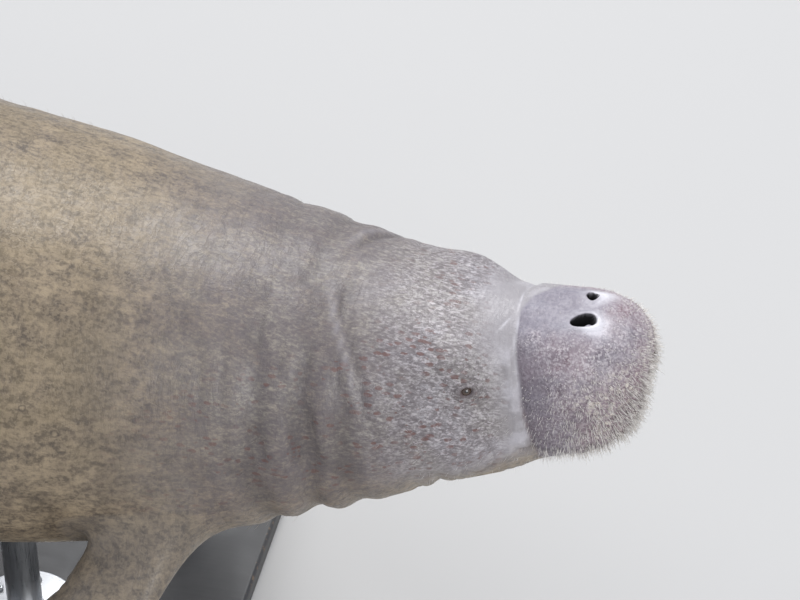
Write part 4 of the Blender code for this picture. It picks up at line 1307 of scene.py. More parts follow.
hideColours = {  # linear colours
    "trunk": (0.178, 0.136, 0.094, 1),
    "trunkDark": (0.062, 0.047, 0.035, 1),
    "trunkLight": (0.360, 0.282, 0.182, 1),
    "neck": (0.180, 0.166, 0.174, 1),
    "algae": (0.185, 0.140, 0.078, 1),
    "fin": (0.150, 0.138, 0.130, 1),
    "face": (0.450, 0.428, 0.450, 1),
    "faceDull": (0.325, 0.305, 0.316, 1),
    "streak": (0.118, 0.098, 0.102, 1),
    "blotch": (0.140, 0.064, 0.054, 1),
    "tan": (0.400, 0.370, 0.300, 1),
    "muzzle": (0.138, 0.117, 0.142, 1),
    "muzzlePink": (0.215, 0.145, 0.165, 1),
    "muzzleLight": (0.480, 0.450, 0.480, 1),
    "fleck": (0.690, 0.630, 0.650, 1),
    "cream": (0.720, 0.660, 0.580, 1),
    "lavender": (0.222, 0.213, 0.258, 1),
    "pale": (0.800, 0.780, 0.820, 1),
    # painted shade: nearly black for the insides of nostrils, mouth, ears and eye sockets
    "paintedHollowShade": (0.003, 0.002, 0.003, 1),
    "lid": (0.120, 0.096, 0.098, 1),
    "creaseShade": (0.150, 0.095, 0.100, 1),
    # painted shade: the colour multiplied in cracks, folds and the rings round the eye
    "creviceShade": (0.42, 0.40, 0.40, 1),  # what a colour is multiplied by in cracks and folds
}
patchRows = {  # which points the pattern reads, its scale, level and softness
    "broad": ("plain", 5.0, 0.50, 0.14),
    "small": ("plain", 27.0, 0.50, 0.10),
    "speckle": ("plain", 150.0, 0.50, 0.08),
    "growth": ("plain", 9.0, 0.50, 0.12),
    "clusters": ("aside", 18.0, 0.44, 0.07),
    "mottle": ("drawnOut", 58.0, 0.51, 0.11),
    "flakes": ("aside", 150.0, 0.53, 0.07),
    "clouds": ("aside", 62.0, 0.50, 0.10),
    "streaks": ("aside", 190.0, 0.495, 0.110),
    "fineStreaks": ("drawnOut", 330.0, 0.500, 0.080),
    "glints": ("aside", 300.0, 0.580, 0.065),
    "grit": ("plain", 250.0, 0.535, 0.06),
    "gathered": ("plain", 34.0, 0.48, 0.12),
}
trunkLayers = (  # share, the masks that bound it, colour
    (0.36, "broad", "trunkLight"),
    (0.66, "small", "trunkLight"),
    (0.72, "mottle", "trunkDark"),
    (0.40, "flakes", "trunkDark"),
    (0.55, "growth algaeZone", "algae"),
    (0.42, "speckle", "trunkLight"),
    (0.55, "scarRing scarred", "trunkDark"),
    (0.45, "scarMiddle scarred", "trunkLight"),
    (0.45, "finZone", "fin"),
    (0.55, "blotchZone", "neck"),
)
faceLayers = (
    (1.0, "small", "faceDull"),
    (1.0, "bandTop", "faceDull"),
)
blotchLayers = (
    (0.40, "growth blotchZone", "tan"),
    (0.22, "clouds blotchZone", "streak"),
    (0.70, "streaks blotchZone", "streak"),
    (0.54, "fineStreaks blotchZone", "streak"),
    (0.46, "glints blotchZone paleZone", "fleck"),
    (0.80, "spots faded spotZone", "blotch"),
)
muzzleLayers = (
    (1.0, "rosy", "muzzlePink"),
    (0.28, "small", "muzzleLight"),
    (0.80, "smoothTop", "lavender"),
    (0.24, "mottle smoothTop", "muzzle"),
    (0.22, "speckle", "muzzleLight"),
    (0.16, "topPale", "pale"),
    (0.88, "flecks", "fleck"),
    (0.75, "flecks creamZone", "cream"),
    (0.42, "creamZone", "muzzlePink"),
    (0.90, "pads gathered creamZone", "cream"),
    # painted shade on the lower rear of the muzzle
    (0.68, "lowerRearShade", "muzzle"),
)
markLayers = (
    # painted highlight on the nape fold's roll
    (0.28, "foldRidgeHighlight", "face"),
    # painted highlight along the crease and the wrinkle
    (0.48, "creaseHighlight", "pale"),
    (0.60, "creaseShade", "creaseShade"),
    # painted highlight on the nostrils' rims
    (0.90, "nostrilRimAndHighlight", "pale"),
    (0.80, "lidMark", "lid"),
    (0.45, "lipMark", "lid"),
    # painted shade: the hollows laid nearly black
    (1.0, "paintedHollowShade", "paintedHollowShade"),
)
hideShape = {
    "drawnOut": ((0.48, 1.0, 1.0), (0.0, 0.1, 0.0)),  # stretch and turn of the drawn-out patterns
    "aside": (3.1, 5.7, 1.9),  # keeps patterns of like scale off each other
    "trunkGrain": {"Pebbles": 300.0, "Creases": 62.0},
    "faceGrain": {"Pebbles": 420.0, "Creases": 150.0},
    "leastScars": 0.15,
    "spotScale": 120.0,
    "spotFade": 0.55,
    "lumpScale": 190.0,
    "padScale": 104.0,
    "gritShare": 0.62,
    "crackShares": (0.14, 0.06),  # on the trunk and on the face
    "foldShare": 0.50,
    "eyeRingShare": 0.70,
    "fineScale": 420.0,
}
scarShape = {
    "scale": 36.0,
    "randomness": 0.9,
    "ring": 0.20,
    "ringEdges": (0.060, 0.015),
    "middle": (0.17, 0.10),
    "chosen": (0.50, 0.62),
}
eyeFoldShape = {
    "wanderScale": 58.0,
    "wanderReach": 0.0100,
    "ringEdge": 0.50,
    "ringReach": (0.033, 0.012),  # where the rings have faded out and where they are full
    "spokeEdge": 0.32,
    "spokeReach": (0.029, 0.012, 0.0, 0.8),
    "lidEdge": (0.0012, 0.0034),  # past the margin of the lids
}


def cellDots(tree, place, scale, outer, inner):
    # round dots, one in each cell and shaken out of line, with a random shade for each
    distance, shade = shakenCells(tree, place, scale, 120.0, 0.0045)
    return rangeOf(tree, distance, outer, inner), shade


def separateSpots(tree, place, scale, edge, spread):
    # dots whose size follows their random shade, so that many cells have none
    distance, shade = shakenCells(tree, place, scale, 260.0, 0.0030)
    size = rangeOf(tree, shade, 0.22, 0.72, -0.05, spread)
    return rangeOf(tree, minus(tree, distance, size), edge, 0.0)


def scarRings(tree, place):
    # old round scars: a dark ring and its paler middle, in some of the cells
    shape = scarShape
    distance, shade = shakenCells(tree, place, shape["scale"], 90.0, 0.0040, shape["randomness"])
    chosen = rangeOf(tree, shade, *shape["chosen"])
    ring = rangeOf(tree, awayFrom(tree, distance, shape["ring"]), *shape["ringEdges"])
    return times(tree, ring, chosen), times(tree, rangeOf(tree, distance, *shape["middle"]), chosen)


def eyeFolds(tree, place, masks):
    # 1 in the rings and spokes round the eye, from each point's distances back and round from its middle
    shape = eyeFoldShape
    back = times(tree, masks["eyeBack"], 1 / eyeShape["long"])
    around = times(tree, masks["eyeRound"], 1 / eyeShape["high"])
    away = mathOf(tree, "SQRT", plus(tree, times(tree, back, back), times(tree, around, around)))
    wander = noiseOf(tree, place, shape["wanderScale"], 3.0)
    wandering = plus(tree, away, times(tree, wander, shape["wanderReach"]))
    ringWave = mathOf(tree, "SINE", times(tree, wandering, math.pi / eyeShape["foldSpacing"]))
    turn = plus(tree, mathOf(tree, "ARCTAN2", around, back), wander)
    spokeWave = mathOf(tree, "SINE", times(tree, turn, eyeShape["spokes"]))
    rings = rangeOf(tree, awayFrom(tree, ringWave), shape["ringEdge"], 0.0)
    rings = times(tree, rings, rangeOf(tree, away, *shape["ringReach"]))
    spokes = rangeOf(tree, awayFrom(tree, spokeWave), shape["spokeEdge"], 0.0)
    spokes = times(tree, spokes, rangeOf(tree, away, *shape["spokeReach"]))
    outside = rangeOf(tree, away, *(eyeShape["margin"] + past for past in shape["lidEdge"]))
    return times(tree, mathOf(tree, "MAXIMUM", rings, spokes), outside)


def layered(tree, colour, layers, masks):
    # each layer's colour laid over what is below it, by its share and all of its masks
    for share, names, name in layers:
        cover = times(tree, *(masks[mask] for mask in names.split()), share)
        colour = mixOf(tree, cover, colour, hideColours[name])
    return colour


def muzzleMasks(tree, place, masks):
    # adds the raised dots of the muzzle, their pale flecks and the pads of the lips
    shape = hideShape
    stippled = minus(tree, 1.0, times(tree, masks["smoothTop"], 0.92))
    stipple = times(tree, masks["muzzleZone"], stippled)
    lumps, shade = cellDots(tree, place, shape["lumpScale"], 0.52, 0.10)
    masks["lumps"] = times(tree, lumps, stipple)
    flecks = times(tree, masks["lumps"], rangeOf(tree, shade, 0.30, 0.70, 0.25, 1.0))
    grit = times(tree, masks["grit"], stipple, shape["gritShare"])
    flecks = mathOf(tree, "MAXIMUM", flecks, grit)
    masks["flecks"] = times(tree, flecks, valueBetween(tree, masks["gathered"], 0.50, 1.0))
    masks["rosy"] = mathOf(tree, "MAXIMUM", masks["growth"], times(tree, masks["creamZone"], 0.8))
    masks["pads"] = cellDots(tree, place, shape["padScale"], 0.46, 0.24)[0]


def hideMaterial(markNames):
    # masks first, then the colours in layers, the roughness and the relief
    material, tree, shader, place = newMaterial("wet_hide")
    shape, colours = hideShape, hideColours
    masks = {name: pointValue(tree, name) for name in markNames}
    drawnOut = stretched(tree, place, *shape["drawnOut"])
    ways = {"plain": place, "drawnOut": drawnOut, "aside": moved(tree, drawnOut, shape["aside"])}
    placed = {name: patchOf(tree, ways[way], *row) for name, (way, *row) in patchRows.items()}
    masks.update({name: outputs["Mask"] for name, outputs in placed.items()})
    grains = [placeGroup(tree, hideGrain, {"Vector": place, **shape[name]})
              for name in ("trunkGrain", "faceGrain")]

    masks["scarRing"], masks["scarMiddle"] = scarRings(tree, place)
    scarZone = mathOf(tree, "MAXIMUM", masks["algaeZone"], shape["leastScars"])
    masks["scarred"] = times(tree, masks["broad"], scarZone)
    spots = separateSpots(tree, drawnOut, shape["spotScale"], 0.102, 0.33)
    masks["spots"] = times(tree, spots, masks["clusters"])
    masks["faded"] = valueBetween(tree, masks["flakes"], 1.0, shape["spotFade"])
    muzzleMasks(tree, place, masks)

    colour = layered(tree, colours["trunk"], trunkLayers, masks)
    face = layered(tree, colours["face"], faceLayers, masks)
    colour = mixOf(tree, masks["paleZone"], colour, face)
    colour = layered(tree, colour, blotchLayers, masks)
    muzzle = layered(tree, colours["muzzle"], muzzleLayers, masks)
    colour = mixOf(tree, masks["muzzleZone"], colour, muzzle)

    height, cracks = (valueBetween(tree, masks["paleZone"], *(grain[name] for grain in grains))
                      for name in ("Height", "Cracks"))
    eyeRings = eyeFolds(tree, place, masks)
    # painted shade: the colour is darkened in the grain's cracks, in the folds and in the rings round the eye
    creviceShaded = mixOf(tree, 1.0, colour, colours["creviceShade"], "MULTIPLY")
    crackShare = valueBetween(tree, masks["paleZone"], *shape["crackShares"])
    for share, mask in ((crackShare, cracks), (shape["foldShare"], masks["foldMark"]),
                        (shape["eyeRingShare"], eyeRings)):
        colour = mixOf(tree, times(tree, mask, share), colour, creviceShaded)
    colour = layered(tree, colour, markLayers, masks)

    rough = rangeOf(tree, placed["small"]["Cloud"], 0.3, 0.7, 0.36, 0.54)
    rough = plus(tree, rough, times(tree, cracks, 0.10))
    rough = minus(tree, rough, times(tree, masks["nostrilRimAndHighlight"], 0.15))
    rough = plus(tree, rough, times(tree, masks["paintedHollowShade"], 0.5), True)
    coat = times(tree, minus(tree, 1.0, masks["paintedHollowShade"]), 0.16)
    tree.links.new(coat, shader.inputs["Coat Weight"])
    shader.inputs["Coat Roughness"].default_value = 0.24

    normal = None
    fine = noiseOf(tree, place, shape["fineScale"], 2.0, 0.6)
    for relief, strength, distance in ((fine, 0.35, 0.0006), (masks["lumps"], 0.75, 0.0014),
                                       (eyeRings, -0.9, 0.0014), (height, 0.50, 0.0012)):
        normal = bumpOf(tree, relief, strength, distance, normal)
    feed(tree, shader, colour, rough, normal)
    return material


skin, headGrid, headStraight, headMarks, bodyGrid = buildSkin()
fleshNodes = ("head", "lower_jaw", "neck", "chest", "belly", "tail_stock", "tail_paddle",
              "flipper_left", "flipper_right")
finishPiece(skin, hideMaterial(headMarks), "skin", *fleshNodes)


# Eyes: a ball with a low cornea, coloured from its middle outward

def domeFrame(rows, turns):
    # a grid of angles down from the pole and round it
    return np.meshgrid(rows, circle(turns), indexing="ij")


def buildEye(side, label, material):
    # a ball whose radius has a bell round its pole, for the cornea
    mirror = np.array([1, side, 1])
    back, around, outward = (posedDirection(eyeShape["s"], eyeFrame[name] * mirror)
                             for name in ("back", "around", "outward"))
    centre = posed(eyeFrame["point"] * mirror) - outward * (eyeShape["ball"] - eyeShape["shown"])
    polar, turn = domeFrame(np.linspace(0.02, math.pi - 0.02, 40), 48)
    radius = (eyeShape["ball"] * (1 + eyeShape["cornea"] * bump(polar, eyeShape["corneaWidth"])))[..., None]
    polar, turn = polar[..., None], turn[..., None]
    rings = (centre + outward * (radius * np.cos(polar))
             + (back * np.cos(turn) + around * np.sin(turn)) * (radius * np.sin(polar)))
    eye = ringsPiece(f"eye_ball_{label}", rings, flip=side < 0)
    giveValues(eye, {"fromMiddle": np.append(polar.ravel(), [0.0, math.pi])})
    finishPiece(eye, material, "eye", f"eye_{label}")


def eyeMaterial():
    # pupil, iris and white by the angle from the pole, under a wet coat
    material, tree, shader, place = newMaterial("wet_eye")
    polar = pointValue(tree, "fromMiddle")
    fibres = noiseOf(tree, place, 900.0, 2.0)
    iris = mixOf(tree, fibres, (0.022, 0.011, 0.006, 1), (0.075, 0.040, 0.020, 1))
    white = mixOf(tree, fibres, (0.10, 0.075, 0.070, 1), (0.19, 0.15, 0.14, 1))
    colour = mixOf(tree, rangeOf(tree, polar, *eyeShape["pupilEdge"]), (0.002, 0.002, 0.003, 1), iris)
    colour = mixOf(tree, rangeOf(tree, polar, *eyeShape["irisEdge"]), colour, white)
    feed(tree, shader, colour, rangeOf(tree, fibres, 0.2, 0.8, 0.06, 0.14))
    shader.inputs["Coat Weight"].default_value = 1.0
    shader.inputs["Coat Roughness"].default_value = 0.02
    return material


eyeFinish = eyeMaterial()
for side, label in ((1, "left"), (-1, "right")):
    buildEye(side, label, eyeFinish)
print("eyes made")


# Nails: low domes with growth lines across them

def buildNail(label, index, place, material):
    # a rounded dome on its three directions, with sine ridges across it
    point, long, wide, outward = place
    along, across, up = nailShape["radii"]
    p, a = domeFrame(np.linspace(0.03, math.pi - 0.03, 28), 36)
    lengthwise = np.sign(np.cos(a)) * np.abs(np.cos(a)) ** 0.9 * np.sin(p) ** 0.8
    crosswise = np.sin(a) * np.sin(p) ** 0.8
    lines = nailShape["lineHeight"] * np.sin(lengthwise * nailShape["lineTurns"] + index)
    lines = lines * np.clip(np.cos(p), 0, 1)
    rings = (point + long * (along * lengthwise)[..., None] + wide * (across * crosswise)[..., None]
             + outward * (up * (np.cos(p) + lines))[..., None])
    nail = ringsPiece(f"nail_plate_{label}_{index}", rings)
    finishPiece(nail, material, "horn", f"nail_{label}_{index}")


def hornMaterial():
    # clouded horn with streaks along it
    material, tree, shader, place = newMaterial("worn_horn")
    cloud = patchOf(tree, place, 140.0)["Mask"]
    streak = noiseOf(tree, stretched(tree, place, (1.0, 0.3, 1.0)), 600.0, 2.0)
    colour = mixOf(tree, cloud, (0.36, 0.30, 0.22, 1), (0.56, 0.50, 0.40, 1))
    colour = mixOf(tree, times(tree, streak, 0.35), colour, (0.20, 0.16, 0.11, 1))
    feed(tree, shader, colour, rangeOf(tree, streak, 0.3, 0.7, 0.32, 0.5), bumpOf(tree, streak, 0.3, 0.0004))
    return material


hornFinish = hornMaterial()
for side, label in ((1, "left"), (-1, "right")):
    for index, place in enumerate(nailPlaces(flippers[side]), 1):
        buildNail(label, index, place, hornFinish)
print("nails made")


# Bristles and hairs: thin bent cones of three sides, rooted in the skin

bristleShape = {
    "sink": 0.0015,  # how deep each root stands in the skin
    "mapPatch": 0.003,  # side of the patch that each hair has on the UV map
    "muzzle": {"count": 4000, "lengths": (0.0035, 0.0090), "spread": (0.6, 1.4), "radii": (0.00036, 0.00036)},
    "lips": {"count": 620, "length": 0.013, "spread": (0.6, 1.5), "radii": (0.0005, 0.0009)},
    "face": {"count": 500, "lengths": (0.004, 0.009), "radius": 0.0002},
    "body": {"count": 1500, "lengths": (0.008, 0.014), "radius": 0.00024, "rings": (14, -50),
             "flipperReach": 0.16},
}


def scatterRoots(grid, density, count, draw):
    # random places on a grid of rings, as many as the area of each cell times its density asks for
    below, after = grid[1:], np.roll(grid, -1, axis=1)
    area = np.linalg.norm(np.cross(below - grid[:-1], after[:-1] - grid[:-1]), axis=2)
    weight = (area * density[:-1]).ravel()
    cell = draw.choice(weight.size, count, p=weight / weight.sum())
    i, k = np.divmod(cell, grid.shape[1])
    u, v = draw.random(count), draw.random(count)
    after = (k + 1) % grid.shape[1]

    def blended(values):
        # the values of a cell's four corners, weighed by the place in it
        shaped = (lambda x: x[:, None]) if values.ndim == 3 else (lambda x: x)
        first = values[i, k] * shaped(1 - v) + values[i, after] * shaped(v)
        second = values[i + 1, k] * shaped(1 - v) + values[i + 1, after] * shaped(v)
        return first * shaped(1 - u) + second * shaped(u)

    return blended, (i + u) / grid.shape[0], (k + v) / grid.shape[1]


def hairPiece(name, roots, ways, bends, lengths, radii, rootMap, material, rings=3):
    # each hair runs from its root along its way, bending by the square of the distance, and thins to a point
    count, corners = len(roots), 3
    t = np.linspace(0, 1, rings + 1)
    ways, side = unit(ways), unit(np.cross(ways, bends) + 1e-6)
    other = np.cross(ways, side)
    lengths, radii = lengths[:, None], radii[:, None]
    sunk = bristleShape["sink"] * (t == 0)
    centre = [roots + ways * (lengths * x - deep) + bends * lengths * x**2 for x, deep in zip(t, sunk)]
    points = np.zeros((count, rings * corners + 1, 3))
    for j in range(rings):
        radius = radii * (1 - t[j]) ** 0.6
        for corner in range(corners):
            a = 2 * math.pi * corner / corners
            points[:, j * corners + corner] = centre[j] + (side * math.cos(a) + other * math.sin(a)) * radius
    points[:, -1] = centre[-1]
    last = (rings - 1) * corners
    tip = tipFaces(last + np.arange(corners), rings * corners)[:, [0, 2, 1]]
    triangles = np.concatenate([[(0, 2, 1)], tip])
    quads = ringFaces(rings, corners)[:, [0, 3, 2, 1]]
    start = (np.arange(count) * (rings * corners + 1))[:, None, None]
    piece = meshPiece(name, points.reshape(-1, 3), quads + start, triangles + start)
    patch = bristleShape["mapPatch"]
    upHair = np.append(np.repeat(t[:-1], corners), 1.0)
    local = np.stack([np.append(np.tile([-0.5, 0.0, 0.5], rings), 0.0), upHair - 0.5], axis=-1) * patch
    giveMap(piece, (rootMap[:, None] * (1 - patch) + patch / 2 + local).reshape(-1, 2))
    giveValues(piece, {"upHair": np.tile(upHair, count)})
    finishPiece(piece, material, "horn")


def bristleMaterial(name, rootColour, tipColour):
    # from the root's colour to the tip's, with cloudy patches
    material, tree, shader, place = newMaterial(name)
    cloud = patchOf(tree, place, 180.0)
    colour = mixOf(tree, pointValue(tree, "upHair"), rootColour, tipColour)
    colour = mixOf(tree, times(tree, cloud["Mask"], 0.25), colour, (0.52, 0.47, 0.40, 1))
    feed(tree, shader, colour, rangeOf(tree, cloud["Cloud"], 0.3, 0.7, 0.30, 0.5))
    return material


def buildBristles():
    # four growths of hair, from one row of random draws
    draw = np.random.default_rng(7)
    shape = bristleShape
    s, y, z = headStraight[..., 0], headStraight[..., 1], headStraight[..., 2]
    lip = z - mouthHeight(s)
    muzzle, top, paintedHollowShade = (headMarks[name] for name in ("muzzleZone", "smoothTop", "paintedHollowShade"))
    clear = (1 - smoothStep(1.5, 1.05, nostrilShare(headStraight))) * (1 - paintedHollowShade)
    clear = clear * (1 - smoothStep(0.016, 0.010, eyeDistance(headStraight)))
    low, front = smoothStep(0.05, -0.07, z), smoothStep(0.16, 0.03, s)
    forward, down = np.array([1.0, 0.0, 0.0]), np.array([0.0, 0.0, -1.0])
    pale = bristleMaterial("pale_bristle", (0.66, 0.62, 0.60, 1), (0.90, 0.87, 0.81, 1))
    brown = bristleMaterial("brown_hair", (0.20, 0.17, 0.14, 1), (0.42, 0.36, 0.29, 1))

    def planted(grid, density, count):
        # random roots with their outward directions and their places on the UV map
        blended, u, v = scatterRoots(grid, density, count, draw)
        return blended, blended(grid), unit(blended(gridNormals(grid))), np.stack([v, u], axis=-1)

    def strays(share, count):
        return share * draw.normal(size=(count, 3))

    # short bristles over the whole muzzle, longest in front and below
    row, count = shape["muzzle"], shape["muzzle"]["count"]
    density = muzzle * clear * smoothStep(0.0, 0.5, 1 - headMarks["topPale"]) * (1 - 0.9 * top)
    density = density * (0.10 + 0.30 * low + 0.9 * front * low)
    blended, roots, outward, rootMap = planted(headGrid, density, count)
    lowHere, frontHere = blended(low), blended(front)
    least, gain = row["lengths"]
    lengths = (least + gain * (0.6 * lowHere + 0.4 * frontHere) ** 1.5) * draw.uniform(*row["spread"], count)
    ways = unit(outward + 0.35 * forward * frontHere[:, None] + strays(0.22, count))
    bends = 0.35 * down + strays(0.15, count)
    least, gain = row["radii"]
    radii = (least + gain * lowHere * frontHere) * draw.uniform(0.8, 1.3, count)
    hairPiece("muzzle_bristles", roots, ways, bends, lengths, radii, rootMap, pale)

    # stout bristles on the pads of the upper lip and along the lower lip
    row, count = shape["lips"], shape["lips"]["count"]
    upper = bump(lip - 0.016, 0.010) * smoothStep(0.17, 0.12, s) * (0.3 + bump(np.abs(y) - 0.052, 0.022))
    lower = bump(lip + 0.014, 0.009) * smoothStep(0.15, 0.10, s) * 0.8
    blended, roots, outward, rootMap = planted(headGrid, (upper + lower) * clear, count)
    lipHere = blended(lip)
    lengths = row["length"] * draw.uniform(*row["spread"], count)
    lengths = lengths * (0.55 + 0.45 * smoothStep(0.0, 0.01, lipHere))
    ways = unit(outward + 0.5 * down * np.sign(lipHere)[:, None] + strays(0.2, count))
    radii = draw.uniform(*row["radii"], count)
    hairPiece("lip_bristles", roots, ways, 0.3 * down, lengths, radii, rootMap, pale, rings=4)

    # sparse short hairs over the face and the crown
    row, count = shape["face"], shape["face"]["count"]
    behind = clear * (1 - muzzle) * smoothStep(0.36, 0.30, s)
    _, roots, outward, rootMap = planted(headGrid, behind, count)
    lengths, radii = draw.uniform(*row["lengths"], count), np.full(count, row["radius"])
    ways = unit(outward + strays(0.25, count) - 0.4 * forward)
    hairPiece("face_hairs", roots, ways, 0.3 * down - 0.2 * forward, lengths, radii, rootMap, pale)

    # few and fine hairs over the body, lying back, but none about the roots of the flippers
    row = shape["body"]
    first, last = row["rings"]
    trunk = bodyGrid[first:last]
    blended, u, v = scatterRoots(trunk, np.ones(trunk.shape[:2]), row["count"], draw)
    roots, outward = blended(trunk), unit(blended(gridNormals(bodyGrid)[first:last]))
    shoulder = posed(localFrame(flipperShape["s"], flipperShape["column"])[0])
    free = np.abs(roots[:, 0] - shoulder[0] + 0.03) > row["flipperReach"]
    roots, outward, rootMap = roots[free], outward[free], np.stack([v, u], axis=-1)[free]
    ways = unit(outward + strays(0.20, len(roots)) - 0.5 * forward)
    lengths, radii = draw.uniform(*row["lengths"], len(roots)), np.full(len(roots), row["radius"])
    hairPiece("body_hairs", roots, ways, -0.45 * forward + 0.2 * down, lengths, radii, rootMap, brown)


buildBristles()
print("bristles made")


# Display stand: painted board, steel posts with flanges, screws and collars

standShape = {
    "corner": 0.06,
    "bevel": 0.007,
    "postRadius": 0.028,
    "flangeRadius": 0.085,
    "flangeThickness": 0.014,
    "screwCircle": 0.063,
    "screwCount": 6,
    "collarRadius": 0.043,
    "collarDrop": 0.07,  # from the post's top down to the collar
    "fillet": 0.006,
}
screwProfile = ((0.0068, -0.0008), (0.0068, 0.0028), (0.0064, 0.0040), (0.0052, 0.0050), (0.0040, 0.0054))
recessProfile = ((0.0034, 0.0054), (0.0032, 0.0020))  # its radii are those of the six-sided recess


def roundedOutline(halfX, halfY, corner, perCorner=16):
    # a rectangle whose corners are quarter circles, as one ring of points
    ring = []
    for quarter, (cx, cy) in enumerate(((1, 1), (-1, 1), (-1, -1), (1, -1))):
        a = (quarter + np.linspace(0, 1, perCorner)) * math.pi / 2
        ring.append(np.stack([cx * (halfX - corner) + corner * np.cos(a),
                              cy * (halfY - corner) + corner * np.sin(a)], axis=-1))
    return np.concatenate(ring)


def buildBoard(material):
    # rounded outlines stacked by their insets, with a quarter-round top edge
    low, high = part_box("stand_base")
    halfX, halfY = (high.x - low.x) / 2, (high.y - low.y) / 2
    bevel, corner = standShape["bevel"], standShape["corner"]
    turn = np.linspace(0, math.pi / 2, 9)
    insets = np.concatenate([[0.004, 0.0], bevel * (1 - np.cos(turn)), [0.10, 0.25]])
    heights = np.concatenate([[low.z, low.z + 0.003], high.z - bevel + bevel * np.sin(turn), [high.z] * 2])
    wear = np.concatenate([[0.6, 0.2], np.sin(2 * turn), [0, 0]])
    rings = []
    for inset, height in zip(insets, heights):
        flat = roundedOutline(halfX - inset, halfY - inset, max(corner - inset, 0.012))
        rings.append(np.column_stack([flat, np.full(len(flat), height)]))
    board = ringsPiece("stand_board", rings, flip=True)
    giveValues(board, {"edge": np.append(np.repeat(wear, len(rings[0])), [0, 0])})
    finishPiece(board, material, "board", "stand_base")


def boardMaterial():
    # dark paint over grain, with dust and a worn edge
    material, tree, shader, place = newMaterial("painted_board")
    grainLines = noiseOf(tree, stretched(tree, place, (1.5, 28.0, 28.0)), 6.0, 4.0, 0.65)
    dust = patchOf(tree, place, 7.0, 0.55)
    wear = patchOf(tree, place, 90.0, 0.60, 0.05)["Mask"]
    colour = mixOf(tree, grainLines, (0.020, 0.021, 0.023, 1), (0.036, 0.036, 0.038, 1))
    colour = mixOf(tree, times(tree, dust["Mask"], 0.16), colour, (0.16, 0.15, 0.14, 1))
    worn = times(tree, pointValue(tree, "edge"), wear, 0.8)
    colour = mixOf(tree, worn, colour, (0.17, 0.12, 0.075, 1))
    rough = rangeOf(tree, dust["Cloud"], 0.3, 0.7, 0.34, 0.52)
    feed(tree, shader, colour, rough, bumpOf(tree, grainLines, 0.25, 0.0006))
    return material


quarterTurn = np.linspace(0, math.pi / 2, 5)


def turnedPiece(name, profile, centre, steps=72):
    # a profile of (radius, height) pairs from the bottom up, turned about an upright axis
    a = circle(steps)
    radius, height = np.asarray(profile, float).T
    rings = np.stack([centre[0] + radius[:, None] * np.cos(a), centre[1] + radius[:, None] * np.sin(a),
                      np.repeat(height[:, None], steps, axis=1)], axis=-1)
    return ringsPiece(name, rings, flip=True)


def roundedStep(radius, low, high, bevel):
    # the wall of a disc with a quarter-round top edge
    edge = [(radius - bevel + bevel * math.cos(t), high - bevel + bevel * math.sin(t)) for t in quarterTurn]
    return [(radius, low)] + edge


def buildPost(label, steel, rubber):
    # a steel post that widens to its flange by a fillet, with a collar under the belly
    low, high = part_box(f"stand_rod_{label}")
    shape = standShape
    centre = ((low.x + high.x) / 2, (low.y + high.y) / 2)
    step = low.z + shape["flangeThickness"]
    radius, fillet = shape["postRadius"], shape["fillet"]
    profile = roundedStep(shape["flangeRadius"], low.z, step, 0.0025)
    profile += [(radius + fillet - fillet * math.sin(t), step + fillet - fillet * math.cos(t))
                for t in quarterTurn]
    profile += [(radius, z) for z in np.linspace(step + 0.02, high.z, 12)]
    post = turnedPiece(f"stand_post_{label}", profile, centre)
    finishPiece(post, steel, "metal", f"stand_rod_{label}")

    top = high.z - shape["collarDrop"]
    inner, outer = radius + 0.0004, shape["collarRadius"]
    foot = [(inner, top - 0.016), (outer - 0.003, top - 0.016)]
    ring = roundedStep(outer, top - 0.014, top, 0.004)[1:]
    rim = [(outer, top + 0.022), (inner, top + 0.022)]
    collar = turnedPiece(f"stand_collar_{label}", foot + ring + rim, centre)
    finishPiece(collar, rubber, "board")
    return centre, step


def buildScrews(places, steel):
    # round-headed screws with a six-sided recess
    steps = 24
    turn = circle(steps)
    hexed = math.cos(math.pi / 6) / np.cos((turn + math.pi / 6) % (math.pi / 3) - math.pi / 6)
    rows = [(np.full(steps, radius), height) for radius, height in screwProfile]
    rows += [(radius * hexed, height) for radius, height in recessProfile]
    rings = [np.column_stack([r * np.cos(turn), r * np.sin(turn), np.full(steps, h)]) for r, h in rows]
    count = len(rows) * steps
    ends = [[0, 0, screwProfile[0][1]], [0, 0, recessProfile[-1][1]]]
    one = np.concatenate([np.concatenate(rings), ends])
    quads = ringFaces(len(rows), steps)[:, ::-1]
    first, last = np.arange(steps), count - steps + np.arange(steps)
    caps = np.concatenate([tipFaces(first, count), tipFaces(last, count + 1, True)])
    points = (one + np.array(places)[:, None]).reshape(-1, 3)
    start = (np.arange(len(places)) * len(one))[:, None, None]
    screws = meshPiece("stand_screws", points, quads + start, caps + start)
    screws.data.set_sharp_from_angle(angle=math.radians(35))
    finishPiece(screws, steel, "metal")


def steelMaterial():
    material, tree, shader, place = newMaterial("brushed_steel")
    brush = noiseOf(tree, stretched(tree, place, (1.0, 1.0, 0.02)), 900.0, 2.0, 0.7)
    smudge = patchOf(tree, place, 14.0)["Mask"]
    colour = mixOf(tree, brush, (0.42, 0.43, 0.44, 1), (0.60, 0.61, 0.62, 1))
    colour = mixOf(tree, times(tree, smudge, 0.2), colour, (0.36, 0.35, 0.34, 1))
    rough = plus(tree, rangeOf(tree, brush, 0.3, 0.7, 0.24, 0.38), times(tree, smudge, 0.08))
    feed(tree, shader, colour, rough, bumpOf(tree, brush, 0.15, 0.0003))
    shader.inputs["Metallic"].default_value = 1.0
    return material


def rubberMaterial():
    material, tree, shader, place = newMaterial("grey_rubber")
    cloud = patchOf(tree, place, 60.0)["Cloud"]
    colour = mixOf(tree, cloud, (0.018, 0.018, 0.018, 1), (0.040, 0.040, 0.040, 1))
    feed(tree, shader, colour, rangeOf(tree, cloud, 0.3, 0.7, 0.55, 0.72))
    return material


